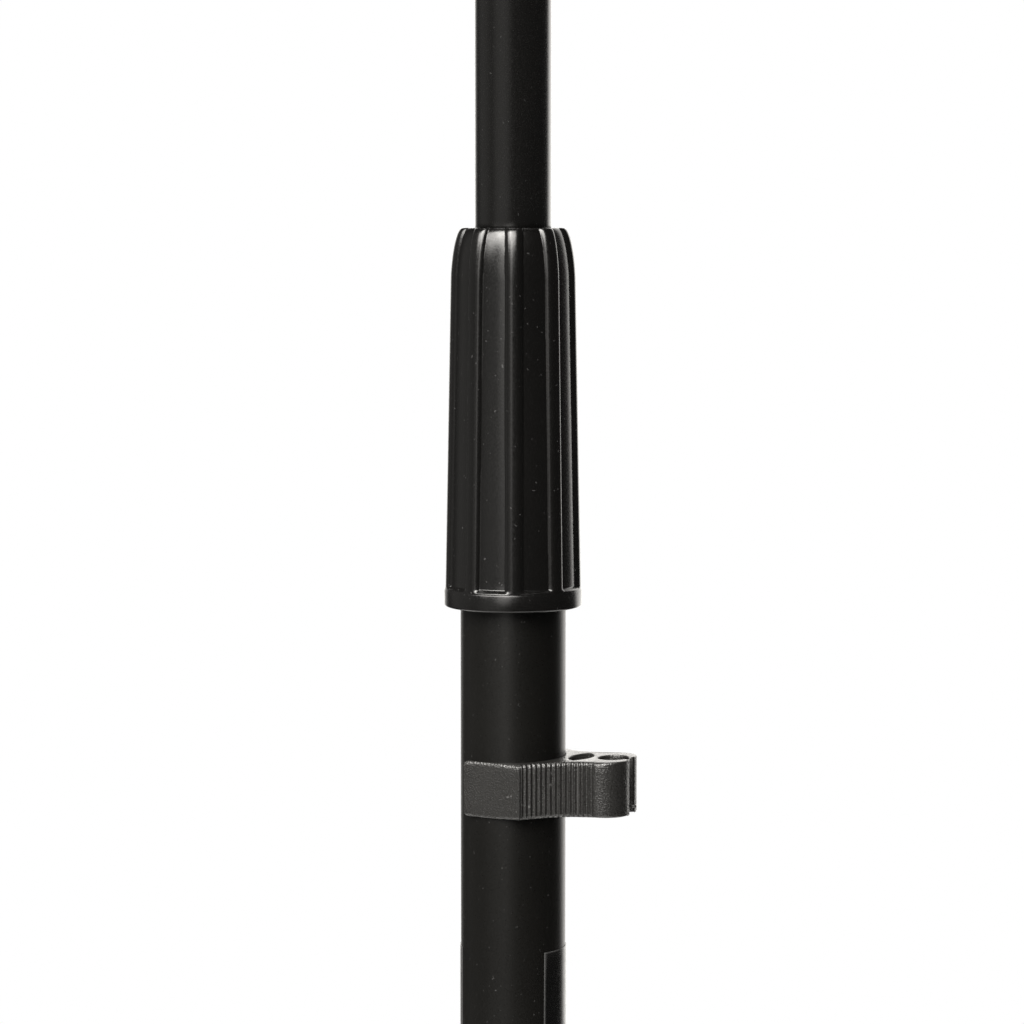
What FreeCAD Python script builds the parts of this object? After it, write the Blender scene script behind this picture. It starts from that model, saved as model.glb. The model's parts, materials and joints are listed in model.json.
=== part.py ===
import FreeCAD, Part
import os
import Sketcher

# A music stand: a three-legged die-cast base, a two-part telescopic column with a twist clutch,
# a snap-on cable clip, and a tilting desk with a shelf. Millimetres, +Z up, floor at z = 0,
# the column on the Z axis and the player on the -Y side.

doc = FreeCAD.newDocument("music_stand")

# ---------------------------------------------------------------- driving sizes
SIZES = [
    # clearances
    ("fit_gap", 0.05), ("slide_gap", 0.1), ("air_gap", 0.3),
    # column
    ("lower_tube_dia", 22.2), ("lower_tube_wall", 1.5), ("lower_tube_base", 24.0), ("lower_tube_top", 655.0),
    ("upper_tube_dia", 15.9), ("upper_tube_wall", 1.2), ("upper_tube_base", 400.0),
    ("upper_tube_len", 585.0), ("bush_len", 30.0), ("bush_floor", 4.0), ("plug_len", 30.0),
    # clutch
    ("grip_len", 75.5), ("grip_above_tube", 45.0), ("grip_top_over", 2.1), ("grip_low_over", 3.3),
    ("grip_dome", 11.0), ("dome_bulge", 0.72), ("dome_middle", 0.4), ("grip_throat_gap", 0.5),
    ("grip_throat_wall", 2.25),
    ("flange_over", 3.4), ("flange_high", 3.75), ("flange_bevel", 0.5),
    ("flute_count", 9), ("flute_depth", 1.1), ("flute_floor_deg", 21.0), ("flute_mouth_deg", 34.0),
    ("flute_flare_deg", 2.0), ("flute_past", 1.0), ("flute_turn", -69.1),
    ("insert_thread_len", 20.0), ("insert_spigot_len", 30.0),
    ("collet_len", 17.0), ("collet_slit", 1.6), ("collet_nose", 1.2),
    # cable clip
    ("clip_base", 577.2), ("clip_high", 11.7), ("clip_turn", -21.0), ("clip_gap", 0.1),
    ("clip_jaw_deg", 123.0), ("clip_lip", 1.6), ("clip_shoulder_deg", 64.0), ("clip_shoulder", 3.4),
    ("clip_waist_past", 1.2), ("clip_waist_half", 8.7), ("clip_nose_past", 9.2), ("clip_nose_half", 7.5),
    ("clip_tip_past", 15.4), ("clip_tip_half", 4.5), ("clip_nose_swell", 0.25), ("clip_nose_fall", 0.2),
    ("cable_bore_rad", 3.25), ("cable_bore_past", 11.2),
    ("cable_mouth_half", 1.3), ("clip_spine", 1.6), ("clip_second_spine", 1.3), ("clip_window_half", 5.0),
    # label
    ("label_top", 548.3), ("label_high", 60.0), ("label_thick", 0.15), ("label_start", -54.0),
    ("label_sweep", 250.0), ("label_glue", 0.02),
    # base
    ("hub_wall", 5.9), ("hub_base", 14.0), ("hub_top", 80.0), ("hub_edge", 3.0),
    ("bolt_rad", 4.0), ("bolt_head_rad", 6.5), ("bolt_head_high", 5.0), ("washer_rad", 8.5),
    ("washer_thick", 1.6), ("bolt_len", 28.0),
    ("leg_count", 3), ("first_leg", -90.0), ("pivot_past_hub", 13.0), ("pivot_high", 44.0), ("ear_rad", 9.0),
    ("ear_thick", 5.0),
    ("knuckle_thick", 12.0), ("knuckle_half", 6.2), ("pin_rad", 3.0), ("pin_head_rad", 5.0),
    ("pin_head_high", 1.6), ("stop_bar_wide", 5.0),
    ("leg_tube_dia", 16.0), ("leg_tube_wall", 1.5), ("leg_start", 20.0), ("leg_len", 268.0),
    ("knuckle_collar", 6.0), ("knuckle_spigot", 25.0),
    ("foot_wall", 3.5), ("foot_len", 32.0), ("foot_end", 6.0), ("foot_flat", 18.0), ("foot_round", 2.5),
    # head
    ("socket_wall", 3.55), ("socket_depth", 30.0), ("socket_roof", 5.0), ("head_rise", 20.0),
    ("tongue_thick", 10.0), ("tongue_rad", 11.5), ("tilt_bolt_rad", 3.0), ("tilt_head_rad", 6.0),
    ("tilt_head_high", 4.0), ("friction_thick", 1.0), ("friction_rad", 9.0),
    ("yoke_thick", 3.0), ("yoke_rad", 12.0), ("yoke_wide", 60.0), ("yoke_high", 50.0),
    ("tilt_knob_rad", 16.0), ("tilt_knob_long", 20.0), ("tilt_knob_lobes", 6), ("tilt_knob_lobe", 4.0),
    ("screw_rad", 2.5), ("screw_drop", 17.0), ("screw_knob_rad", 10.0), ("screw_knob_long", 16.0),
    ("screw_boss_rad", 7.0), ("screw_boss_past", 3.5), ("screw_knob_lobes", 5),
    ("screw_knob_lobe", 3.0),
    # desk
    ("desk_lean", 20.0), ("desk_out", 28.0), ("desk_wide", 480.0), ("desk_below", 130.0),
    ("desk_above", 200.0), ("desk_thick", 1.5), ("desk_corner", 20.0),
    ("shelf_deep", 55.0), ("shelf_lip", 12.0), ("shelf_thick", 1.5), ("shelf_tab_edge", 8.0),
    ("shelf_rivet_in", 25.0), ("shelf_short", 20.0), ("shelf_rivet_count", 4),
    ("rivet_rad", 2.0), ("rivet_head_rad", 3.8), ("rivet_head_high", 1.4),
    ("yoke_rivet_across", 20.0), ("yoke_rivet_up", 16.0),
]

sheet = doc.addObject("Spreadsheet::Sheet", "Sizes")
for row, (alias, number) in enumerate(SIZES, start=1):
    sheet.set("A%d" % row, alias)
    sheet.set("B%d" % row, str(number))
    sheet.setAlias("B%d" % row, alias)

# Sizes that follow from the driving ones, written as formulas of the sheet.
DERIVED = [
    ("lower_rad", "lower_tube_dia / 2"),
    ("lower_bore", "lower_rad - lower_tube_wall"),
    ("upper_rad", "upper_tube_dia / 2"),
    ("upper_bore", "upper_rad - upper_tube_wall"),
    ("upper_tube_top", "upper_tube_base + upper_tube_len"),
    ("grip_top", "lower_tube_top + grip_above_tube"),
    ("grip_top_rad", "lower_rad + grip_top_over"),
    ("grip_low_rad", "lower_rad + grip_low_over"),
    ("flange_rad", "lower_rad + flange_over"),
    ("ledge", "grip_top - grip_len"),
    ("grip_base", "ledge - flange_high"),
    ("thread_rad", "lower_rad - air_gap"),
    ("insert_bore", "upper_rad + slide_gap"),
    ("rim_base", "lower_tube_top + fit_gap"),
    ("thread_top", "rim_base + insert_thread_len"),
    ("collet_base", "thread_top + fit_gap"),
    ("collet_top", "collet_base + collet_len"),
    ("collet_nose_rad", "upper_rad + fit_gap + collet_nose"),
    ("grip_throat_rad", "upper_rad + grip_throat_gap"),
    ("grip_mouth_rad", "grip_throat_rad + grip_throat_wall"),
    ("grip_taper", "(grip_low_rad - grip_top_rad) / (grip_len - grip_dome)"),
    ("flute_high_rad", "grip_top_rad - grip_taper * (grip_dome + flute_past)"),
    ("clip_bore_rad", "lower_rad + clip_gap"),
    ("clip_nose_out", "clip_bore_rad + clip_nose_past"),
    ("clip_tip_out", "clip_bore_rad + clip_tip_past"),
    ("cable_bore_out", "clip_bore_rad + cable_bore_past"),
    ("hub_rad", "lower_rad + hub_wall"),
    ("pivot_out", "hub_rad + pivot_past_hub"),
    ("leg_reach", "leg_start + leg_len + foot_end"),
    ("foot_flat_reach", "leg_reach - foot_flat"),
    ("leg_rad", "leg_tube_dia / 2"),
    ("leg_bore", "leg_rad - leg_tube_wall"),
    ("foot_rad", "leg_rad + foot_wall"),
    ("leg_slope", "asin((pivot_high - foot_rad) / foot_flat_reach)"),
    ("slot_wide", "knuckle_thick + 2 * air_gap"),
    ("fork_wide", "slot_wide + 2 * ear_thick"),
    ("slot_in", "pivot_out - ear_rad - 2 * air_gap"),
    ("stop_in", "pivot_out + ear_rad - stop_bar_wide"),
    ("stop_drop", "ear_rad * tan(leg_slope) + knuckle_half / cos(leg_slope)"),
    ("stop_top", "pivot_high - stop_drop - air_gap"),
    ("fork_floor", "stop_top - stop_bar_wide"),
    ("pivot_z", "upper_tube_top + socket_roof + head_rise"),
    ("socket_base", "upper_tube_top - socket_depth"),
    ("socket_top", "upper_tube_top + socket_roof"),
    ("ear_in", "tongue_thick / 2 + friction_thick + 2 * fit_gap"),
    ("ear_out", "ear_in + yoke_thick"),
    ("knob_in", "ear_out + air_gap"),
    ("desk_front", "desk_out + desk_thick"),
    ("shelf_rivet_up", "shelf_lip + rivet_head_rad + 2 * rivet_head_high"),
    ("shelf_tab", "shelf_rivet_up + shelf_tab_edge"),
    ("screw_z", "socket_base + socket_depth - screw_drop"),
    ("socket_rad", "upper_rad + socket_wall"),
    ("screw_boss_out", "socket_rad + screw_boss_past"),
    ("screw_knob_in", "screw_boss_out + air_gap"),
]
for row, (alias, text) in enumerate(DERIVED, start=len(SIZES) + 2):
    sheet.set("A%d" % row, alias)
    sheet.set("B%d" % row, "=" + text)
    sheet.setAlias("B%d" % row, alias)
doc.recompute()


def size(name):
    """A size's value from the sheet, as a plain number."""
    value = getattr(sheet, name)
    return float(getattr(value, "Value", value))


def formula(text):
    """The same formula with each of the sheet's names written as a reference to it."""
    words = {alias for alias, _ in SIZES} | {alias for alias, _ in DERIVED}
    out = ""
    word = ""
    for letter in text + " ":
        if letter.isalnum() or letter == "_":
            word += letter
            continue
        out += "Sizes." + word if word in words else word
        out += letter
        word = ""
    return out.strip()


PARTS = []


def keep(obj, label, placement=None):
    """Name a sub-part, place it, and put it on the list that is written out."""
    obj.Label = label
    if placement is not None:
        obj.Placement = placement
    PARTS.append(obj)
    return obj


def value(text):
    """The present value of a formula of the sheet's names."""
    result = sheet.evalExpression(formula(text))
    return float(getattr(result, "Value", result))


# ---------------------------------------------------------------- primitives
def place(obj, x="0", y="0", z="0"):
    for axis, text in (("x", x), ("y", y), ("z", z)):
        if text != "0":
            obj.setExpression("Placement.Base." + axis, formula(text))
    return obj


TURN_TO = {
    "X": FreeCAD.Rotation(FreeCAD.Vector(0, 1, 0), 90),
    "Y": FreeCAD.Rotation(FreeCAD.Vector(1, 0, 0), -90),
}


def cylinder(name, radius, height, x="0", y="0", z="0", along="Z"):
    obj = doc.addObject("Part::Cylinder", name)
    obj.setExpression("Radius", formula(radius))
    obj.setExpression("Height", formula(height))
    if along in TURN_TO:
        obj.Placement = FreeCAD.Placement(FreeCAD.Vector(), TURN_TO[along])
    return place(obj, x, y, z)


def box(name, length, width, height, x="0", y="0", z="0"):
    obj = doc.addObject("Part::Box", name)
    for prop, text in (("Length", length), ("Width", width), ("Height", height)):
        obj.setExpression(prop, formula(text))
    return place(obj, x, y, z)


def group(kind, name, shapes):
    obj = doc.addObject(kind, name)
    if kind == "Part::Compound":
        obj.Links = list(shapes)
    else:
        obj.Shapes = list(shapes)
        obj.Refine = True
    return obj


def fuse(name, *shapes):
    return group("Part::MultiFuse", name, shapes)


def cut(name, base, *tools):
    obj = doc.addObject("Part::Cut", name)
    obj.Base = base
    obj.Tool = tools[0] if len(tools) == 1 else fuse(name + "_tools", *tools)
    obj.Refine = True
    return obj


def tube(name, radius, bore, length, z="0", along="Z", x="0"):
    outside = cylinder(name + "_outside", radius, length, x=x, z=z, along=along)
    inside = cylinder(name + "_inside", bore, length, x=x, z=z, along=along)
    return cut(name, outside, inside)


# ---------------------------------------------------------------- sketched bodies
def new_sketch(body, name, role, lift=None):
    """A sketch on one of the body's own planes, lifted off it along its normal."""
    sketch = body.newObject("Sketcher::SketchObject", name)
    planes = [f for f in body.Origin.OriginFeatures if f.Role == role]
    sketch.AttachmentSupport = [(planes[0], "")]
    sketch.MapMode = "FlatFace"
    if lift is not None:
        sketch.setExpression("AttachmentOffset.Base.z", formula(lift))
    return sketch


def pin_point(sketch, geometry, corner, point):
    """Hold a corner of the sketch at a pair of formulas, measured from the sketch's origin."""
    for kind, text in zip(("DistanceX", "DistanceY"), point):
        rule = Sketcher.Constraint(kind, -1, 1, geometry, corner, value(text))
        number = sketch.addConstraint(rule)
        sketch.setExpression("Constraints[%d]" % number, formula(text))


def outline(sketch, points, arcs=None):
    """A closed outline through points, each a pair of formulas.

    A stretch is straight, unless arcs gives the point that it passes through, by the number of the
    point that it starts from."""
    arcs = arcs or {}
    first = sketch.GeometryCount
    count = len(points)
    spots = [FreeCAD.Vector(value(x), value(y), 0) for x, y in points]
    ends = []
    for index, spot in enumerate(spots):
        after = spots[(index + 1) % count]
        if index not in arcs:
            sketch.addGeometry(Part.LineSegment(spot, after), False)
            ends.append((1, 2))
            continue
        through = FreeCAD.Vector(value(arcs[index][0]), value(arcs[index][1]), 0)
        turns_left = (through - spot).cross(after - spot).z > 0
        run = (spot, after) if turns_left else (after, spot)
        sketch.addGeometry(Part.Arc(run[0], through, run[1]), False)
        ends.append((1, 2) if turns_left else (2, 1))
    for index in range(count):
        after = (index + 1) % count
        join = Sketcher.Constraint("Coincident", first + index, ends[index][1], first + after, ends[after][0])
        sketch.addConstraint(join)
        pin_point(sketch, first + index, ends[index][0], points[index])
    for index, through in arcs.items():
        spot = FreeCAD.Vector(value(through[0]), value(through[1]), 0)
        number = sketch.addGeometry(Part.Point(spot), True)
        sketch.addConstraint(Sketcher.Constraint("PointOnObject", number, 1, first + index))
        pin_point(sketch, number, 1, through)


def round_hole(sketch, x, y, radius):
    centre = FreeCAD.Vector(value(x), value(y), 0)
    number = sketch.addGeometry(Part.Circle(centre, FreeCAD.Vector(0, 0, 1), value(radius)), False)
    pin_point(sketch, number, 3, (x, y))
    rule = sketch.addConstraint(Sketcher.Constraint("Radius", number, value(radius)))
    sketch.setExpression("Constraints[%d]" % rule, formula(radius))


def new_body(name):
    return doc.addObject("PartDesign::Body", name + "_body")


def turn(body, sketch, name):
    feature = body.newObject("PartDesign::Revolution", name)
    feature.Profile = sketch
    feature.ReferenceAxis = (sketch, ["V_Axis"])
    feature.Angle = 360
    return feature


def pad(body, sketch, name, length, midplane=False):
    feature = body.newObject("PartDesign::Pad", name)
    feature.Profile = sketch
    feature.setExpression("Length", formula(length))
    feature.Midplane = midplane
    return feature


def pocket(body, sketch, name, length, midplane=False, upward=False):
    feature = body.newObject("PartDesign::Pocket", name)
    feature.Profile = sketch
    feature.setExpression("Length", formula(length))
    feature.Midplane = midplane
    feature.Reversed = upward
    return feature


def polar(body, name, feature, count):
    """Repeat a feature round the body's own Z axis."""
    pattern = body.newObject("PartDesign::PolarPattern", name)
    pattern.Originals = [feature]
    axes = [f for f in body.Origin.OriginFeatures if f.Role == "Z_Axis"]
    pattern.Axis = (axes[0], [""])
    pattern.Angle = 360
    pattern.setExpression("Occurrences", formula(count))
    body.Tip = pattern
    return pattern


def turned(name, points, arcs=None):
    """A body turned about Z from an outline of (radius, height) pairs."""
    body = new_body(name)
    sketch = new_sketch(body, name + "_profile", "XZ_Plane")
    outline(sketch, points, arcs)
    turn(body, sketch, name + "_turned")
    return body


# ---------------------------------------------------------------- column
def make_lower_tube():
    length = "lower_tube_top - lower_tube_base"
    keep(tube("LowerTube", "lower_rad", "lower_bore", length, z="lower_tube_base"), "lower_tube")


def make_upper_tube():
    keep(tube("UpperTube", "upper_rad", "upper_bore", "upper_tube_len", z="upper_tube_base"), "upper_tube")


def make_guide_bush():
    """A cup on the upper tube's lower end, which slides in the lower tube."""
    outer = "lower_bore - slide_gap"
    inner = "upper_rad + fit_gap"
    low = "upper_tube_base - bush_floor"
    high = "upper_tube_base + bush_len"
    seat = "upper_tube_base - fit_gap"
    points = [("0", low), (outer, low), (outer, high), (inner, high), (inner, seat), ("0", seat)]
    keep(turned("GuideBush", points), "guide_bush")


def make_tube_plug():
    """A tapped plug in the lower tube's foot, which the base bolt screws into."""
    plug = cylinder("PlugOutside", "lower_bore - fit_gap", "plug_len", z="lower_tube_base")
    hole = cylinder("PlugHole", "bolt_rad + fit_gap", "plug_len", z="lower_tube_base")
    keep(cut("TubePlug", plug, hole), "tube_plug")


def make_label():
    """A blank film wrapped round the lower tube, open at the front."""
    body = new_body("Label")
    sketch = new_sketch(body, "Label_ring", "XY_Plane", "label_top - label_high")
    inner = "(lower_rad + label_glue)"
    outer = "(lower_rad + label_glue + label_thick)"
    angles = ["label_start", "(label_start + label_sweep)", "(label_start + label_sweep / 2)"]

    def at(radius, angle):
        return (radius + " * cos(" + angle + ")", radius + " * sin(" + angle + ")")

    points = [at(outer, angles[0]), at(outer, angles[1]), at(inner, angles[1]), at(inner, angles[0])]
    outline(sketch, points, {0: at(outer, angles[2]), 2: at(inner, angles[2])})
    pad(body, sketch, "Label_film", "label_high")
    keep(body, "label_wrap")


# ---------------------------------------------------------------- clutch
def make_clutch_insert():
    """The threaded nose of the clutch, with a spigot pressed into the lower tube."""
    spigot = "lower_bore - fit_gap"
    under = "lower_tube_top - insert_spigot_len"
    points = [("insert_bore", under), (spigot, under), (spigot, "rim_base"), ("thread_rad", "rim_base"),
              ("thread_rad", "thread_top"), ("insert_bore", "thread_top")]
    keep(turned("ClutchInsert", points), "clutch_insert")


def make_clutch_collet():
    """A tapered ring, slit on one side, that closes on the upper tube."""
    inner = "upper_rad + fit_gap"
    points = [(inner, "collet_base"), ("thread_rad - air_gap", "collet_base"),
              ("collet_nose_rad", "collet_top"), (inner, "collet_top")]
    ring = turned("ColletRing", points)
    slit = box("ColletSlit", "lower_rad", "collet_slit", "collet_len", y="-collet_slit / 2", z="collet_base")
    keep(cut("ClutchCollet", ring, slit), "clutch_collet")


def make_clutch_grip():
    """The fluted grip: a tapered skirt with a flange, a domed shoulder and flat flutes."""
    body = new_body("ClutchGrip")
    profile = new_sketch(body, "Grip_profile", "XZ_Plane")
    skirt = "lower_rad + air_gap"
    step = "lower_tube_top + air_gap"
    points = [
        ("flange_rad - flange_bevel", "grip_base"), ("flange_rad", "grip_base + flange_bevel"),
        ("flange_rad", "ledge - flange_bevel"), ("grip_low_rad", "ledge"),
        ("grip_top_rad", "grip_top - grip_dome"), ("grip_mouth_rad", "grip_top"),
        ("grip_throat_rad", "grip_top"), ("grip_throat_rad", "collet_top + air_gap"),
        ("collet_nose_rad + air_gap", "collet_top + air_gap"), ("thread_rad + fit_gap", "collet_base"),
        ("thread_rad + fit_gap", step), (skirt, step), (skirt, "grip_base"),
    ]
    dome = ("grip_mouth_rad + dome_bulge * (grip_top_rad - grip_mouth_rad)",
            "grip_top - dome_middle * grip_dome")
    outline(profile, points, {4: dome})
    turn(body, profile, "Grip_turned")
    low = new_sketch(body, "Flute_low", "XY_Plane", "ledge")
    high = new_sketch(body, "Flute_high", "XY_Plane", "grip_top + flute_past")
    for sketch, radius in ((low, "grip_low_rad"), (high, "flute_high_rad")):
        points = []
        for sign in ("-", ""):
            floor = "(" + radius + " - flute_depth)"
            mouth = "(" + radius + " + flute_depth)"
            pair = [(floor, "(flute_floor_deg / 2)"), (mouth, "(flute_mouth_deg / 2 + flute_flare_deg)")]
            if sign == "":
                pair.reverse()
            for reach, angle in pair:
                points.append((reach + " * cos" + angle, sign + reach + " * sin" + angle))
        outline(sketch, points)
    flute = body.newObject("PartDesign::SubtractiveLoft", "Flute")
    flute.Profile = low
    flute.Sections = [high]
    flute.Ruled = True
    polar(body, "Flutes", flute, "flute_count")
    keep(body, "clutch_grip", FreeCAD.Placement(FreeCAD.Vector(), FreeCAD.Rotation(size("flute_turn"), 0, 0)))


# ---------------------------------------------------------------- cable clip
def make_cable_clip():
    """One moulding: a C jaw on the tube, a ribbed waist, a window, and a round jaw for a cable."""
    body = new_body("CableClip")
    sketch = new_sketch(body, "Clip_plan", "XY_Plane", "clip_base")
    lip = "(clip_bore_rad + clip_lip)"
    shoulder = "(clip_bore_rad + clip_shoulder)"
    half = [
        (lip + " * cos(clip_jaw_deg)", lip + " * sin(clip_jaw_deg)"),
        (shoulder + " * cos(clip_shoulder_deg)", shoulder + " * sin(clip_shoulder_deg)"),
        ("clip_nose_out", "clip_nose_half"), ("clip_tip_out", "clip_tip_half"),
        ("clip_tip_out", "cable_mouth_half"),
        ("cable_bore_out + sqrt(pow(cable_bore_rad; 2) - pow(cable_mouth_half; 2))", "cable_mouth_half"),
    ]
    other = [(out, "-(" + across + ")") for out, across in reversed(half)]
    jaw_end = ("clip_bore_rad * cos(clip_jaw_deg)", "clip_bore_rad * sin(clip_jaw_deg)")
    jaw = [(jaw_end[0], sign + jaw_end[1]) for sign in ("-", "")]
    nose = ("clip_tip_out - clip_nose_swell * (clip_tip_out - clip_nose_out)",
            "clip_nose_half - clip_nose_fall * (clip_nose_half - clip_tip_half)")
    waist = ("clip_bore_rad + clip_waist_past", "clip_waist_half")
    arcs = {
        1: waist, 2: nose, 5: ("cable_bore_out - cable_bore_rad", "0"), 8: (nose[0], "-(" + nose[1] + ")"),
        9: (waist[0], "-(" + waist[1] + ")"), 12: ("clip_bore_rad", "0"),
    }
    outline(sketch, half + other + jaw, arcs)
    near = "clip_bore_rad + clip_spine"
    far = "cable_bore_out - cable_bore_rad - clip_second_spine"
    middle = "(" + near + " + " + far + ") / 2"
    window = [(middle, "clip_window_half"), (middle, "-clip_window_half")]
    outline(sketch, window, {0: (near, "0"), 1: (far, "0")})
    pad(body, sketch, "Clip_moulding", "clip_high")
    keep(body, "cable_clip", FreeCAD.Placement(FreeCAD.Vector(), FreeCAD.Rotation(size("clip_turn"), 0, 0)))


# ---------------------------------------------------------------- base
def make_base_hub():
    """The die-cast hub: a boss round the tube and three forks for the legs."""
    body = new_body("BaseHub")
    profile = new_sketch(body, "Hub_profile", "XZ_Plane")
    edge = "hub_edge"
    turned_corner = "(1 - sqrt(0.5)) * hub_edge"
    outline(profile, [("0", "hub_base"), ("hub_rad", "hub_base"), ("hub_rad", "hub_top - " + edge),
                      ("hub_rad - " + edge, "hub_top"), ("0", "hub_top")],
            {2: ("hub_rad - " + turned_corner, "hub_top - " + turned_corner)})
    turn(body, profile, "Hub_boss")
    fork = new_sketch(body, "Fork_outline", "XZ_Plane")
    front = "pivot_out + ear_rad"
    half_way = "ear_rad * sqrt(0.5)"
    outline(fork, [("0", "fork_floor"), (front, "fork_floor"), (front, "pivot_high"),
                   ("pivot_out", "pivot_high + ear_rad"), ("0", "pivot_high + ear_rad")],
            {2: ("pivot_out + " + half_way, "pivot_high + " + half_way)})
    forks = pad(body, fork, "Fork", "fork_wide", midplane=True)
    polar(body, "Forks", forks, "leg_count")
    slot = new_sketch(body, "Slot_outline", "XZ_Plane")
    beyond = "pivot_out + 2 * ear_rad"
    outline(slot, [("slot_in", "hub_base"), ("stop_in", "hub_base"), ("stop_in", "stop_top"),
                   (beyond, "stop_top"), (beyond, "hub_top"), ("slot_in", "hub_top")])
    slots = pocket(body, slot, "Slot", "slot_wide", midplane=True)
    polar(body, "Slots", slots, "leg_count")
    pin = new_sketch(body, "Pin_hole", "XZ_Plane")
    round_hole(pin, "pivot_out", "pivot_high", "pin_rad + fit_gap")
    pins = pocket(body, pin, "Pin_bore", "2 * fork_wide", midplane=True)
    polar(body, "Pin_bores", pins, "leg_count")
    socket = new_sketch(body, "Tube_seat", "XY_Plane", "lower_tube_base")
    round_hole(socket, "0", "0", "lower_rad + fit_gap")
    pocket(body, socket, "Tube_bore", "hub_top", upward=True)
    bolt = new_sketch(body, "Bolt_seat", "XY_Plane", "hub_base")
    round_hole(bolt, "0", "0", "bolt_rad + fit_gap")
    pocket(body, bolt, "Bolt_bore", "hub_top", upward=True)
    keep(body, "base_hub", FreeCAD.Placement(FreeCAD.Vector(), FreeCAD.Rotation(size("first_leg"), 0, 0)))


def make_base_fastening():
    under = "hub_base - washer_thick"
    ring = tube("BaseWasher", "washer_rad", "bolt_rad + fit_gap", "washer_thick", z=under)
    keep(ring, "base_washer")
    head = doc.addObject("Part::Prism", "BoltHead")
    head.Polygon = 6
    head.setExpression("Circumradius", formula("bolt_head_rad"))
    head.setExpression("Height", formula("bolt_head_high"))
    place(head, z=under + " - bolt_head_high")
    shank = cylinder("BoltShank", "bolt_rad", "bolt_len", z=under)
    keep(fuse("BaseBolt", head, shank), "base_bolt")


def leg_placement(azimuth, slope=0.0):
    """From a leg's own frame, with its pivot at the origin and the leg along +X, to the stand's."""
    down = FreeCAD.Placement(FreeCAD.Vector(), FreeCAD.Rotation(FreeCAD.Vector(0, 1, 0), slope))
    out = FreeCAD.Placement(FreeCAD.Vector(size("pivot_out"), 0, size("pivot_high")), FreeCAD.Rotation())
    return FreeCAD.Placement(FreeCAD.Vector(), FreeCAD.Rotation(azimuth, 0, 0)) * out * down


def make_knuckle(number, placement):
    name = "Knuckle%d" % number
    across = "-knuckle_thick / 2"
    eye = cylinder(name + "_eye", "knuckle_half", "knuckle_thick", y=across, along="Y")
    web = box(name + "_web", "leg_start - knuckle_collar / 2", "knuckle_thick", "2 * knuckle_half", y=across,
              z="-knuckle_half")
    inner_end = "leg_start - knuckle_collar"
    collar = cylinder(name + "_collar", "leg_rad", "knuckle_collar", x=inner_end, along="X")
    spigot = cylinder(name + "_spigot", "leg_bore - fit_gap", "knuckle_spigot", x="leg_start", along="X")
    hole = cylinder(name + "_hole", "pin_rad + fit_gap", "knuckle_thick", y=across, along="Y")
    solid = fuse(name + "_solid", eye, web, collar, spigot)
    keep(cut(name, solid, hole), "leg_knuckle_%d" % number, placement)


def make_leg_tube(number, placement):
    name = "LegTube%d" % number
    shape = tube(name, "leg_rad", "leg_bore", "leg_len - fit_gap", x="leg_start + fit_gap", along="X")
    keep(shape, "leg_tube_%d" % number, placement)


def make_foot(number, placement):
    """A rubber cap on the leg's end, cut flat where it meets the floor."""
    name = "Foot%d" % number
    body = new_body(name)
    sketch = new_sketch(body, name + "_profile", "XZ_Plane")
    mouth = "leg_reach - foot_len"
    bore = "leg_rad + fit_gap"
    bottom = "leg_start + leg_len + fit_gap"
    turned_corner = "(1 - sqrt(0.5)) * foot_round"
    outline(sketch, [(bore, mouth), ("foot_rad", mouth), ("foot_rad", "leg_reach - foot_round"),
                     ("foot_rad - foot_round", "leg_reach"), ("0", "leg_reach"), ("0", bottom),
                     (bore, bottom)],
            {2: ("foot_rad - " + turned_corner, "leg_reach - " + turned_corner)})
    turn(body, sketch, name + "_cap")
    body.Placement = FreeCAD.Placement(FreeCAD.Vector(), TURN_TO["X"])
    floor = box(name + "_floor", "2 * leg_reach", "4 * foot_rad", "2 * foot_rad")
    level = FreeCAD.Rotation(FreeCAD.Vector(0, 1, 0), -size("leg_slope"))
    corner = FreeCAD.Vector(0, -2 * size("foot_rad"), -size("pivot_high") - 2 * size("foot_rad"))
    floor.Placement = FreeCAD.Placement(level.multVec(corner), level)
    keep(cut(name, body, floor), "foot_%d" % number, placement)


def make_leg_pin(number, placement):
    name = "LegPin%d" % number
    half = "(fork_wide / 2 + fit_gap)"
    shank = cylinder(name + "_shank", "pin_rad", "2 * " + half, y="-" + half, along="Y")
    far = "-" + half + " - pin_head_high"
    left = cylinder(name + "_left", "pin_head_rad", "pin_head_high", y=far, along="Y")
    right = cylinder(name + "_right", "pin_head_rad", "pin_head_high", y=half, along="Y")
    keep(fuse(name, shank, left, right), "leg_pin_%d" % number, placement)


def make_legs():
    count = int(size("leg_count"))
    for number in range(1, count + 1):
        azimuth = size("first_leg") + 360.0 / count * (number - 1)
        sloped = leg_placement(azimuth, size("leg_slope"))
        make_knuckle(number, sloped)
        make_leg_tube(number, sloped)
        make_foot(number, sloped)
        make_leg_pin(number, leg_placement(azimuth))


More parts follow.
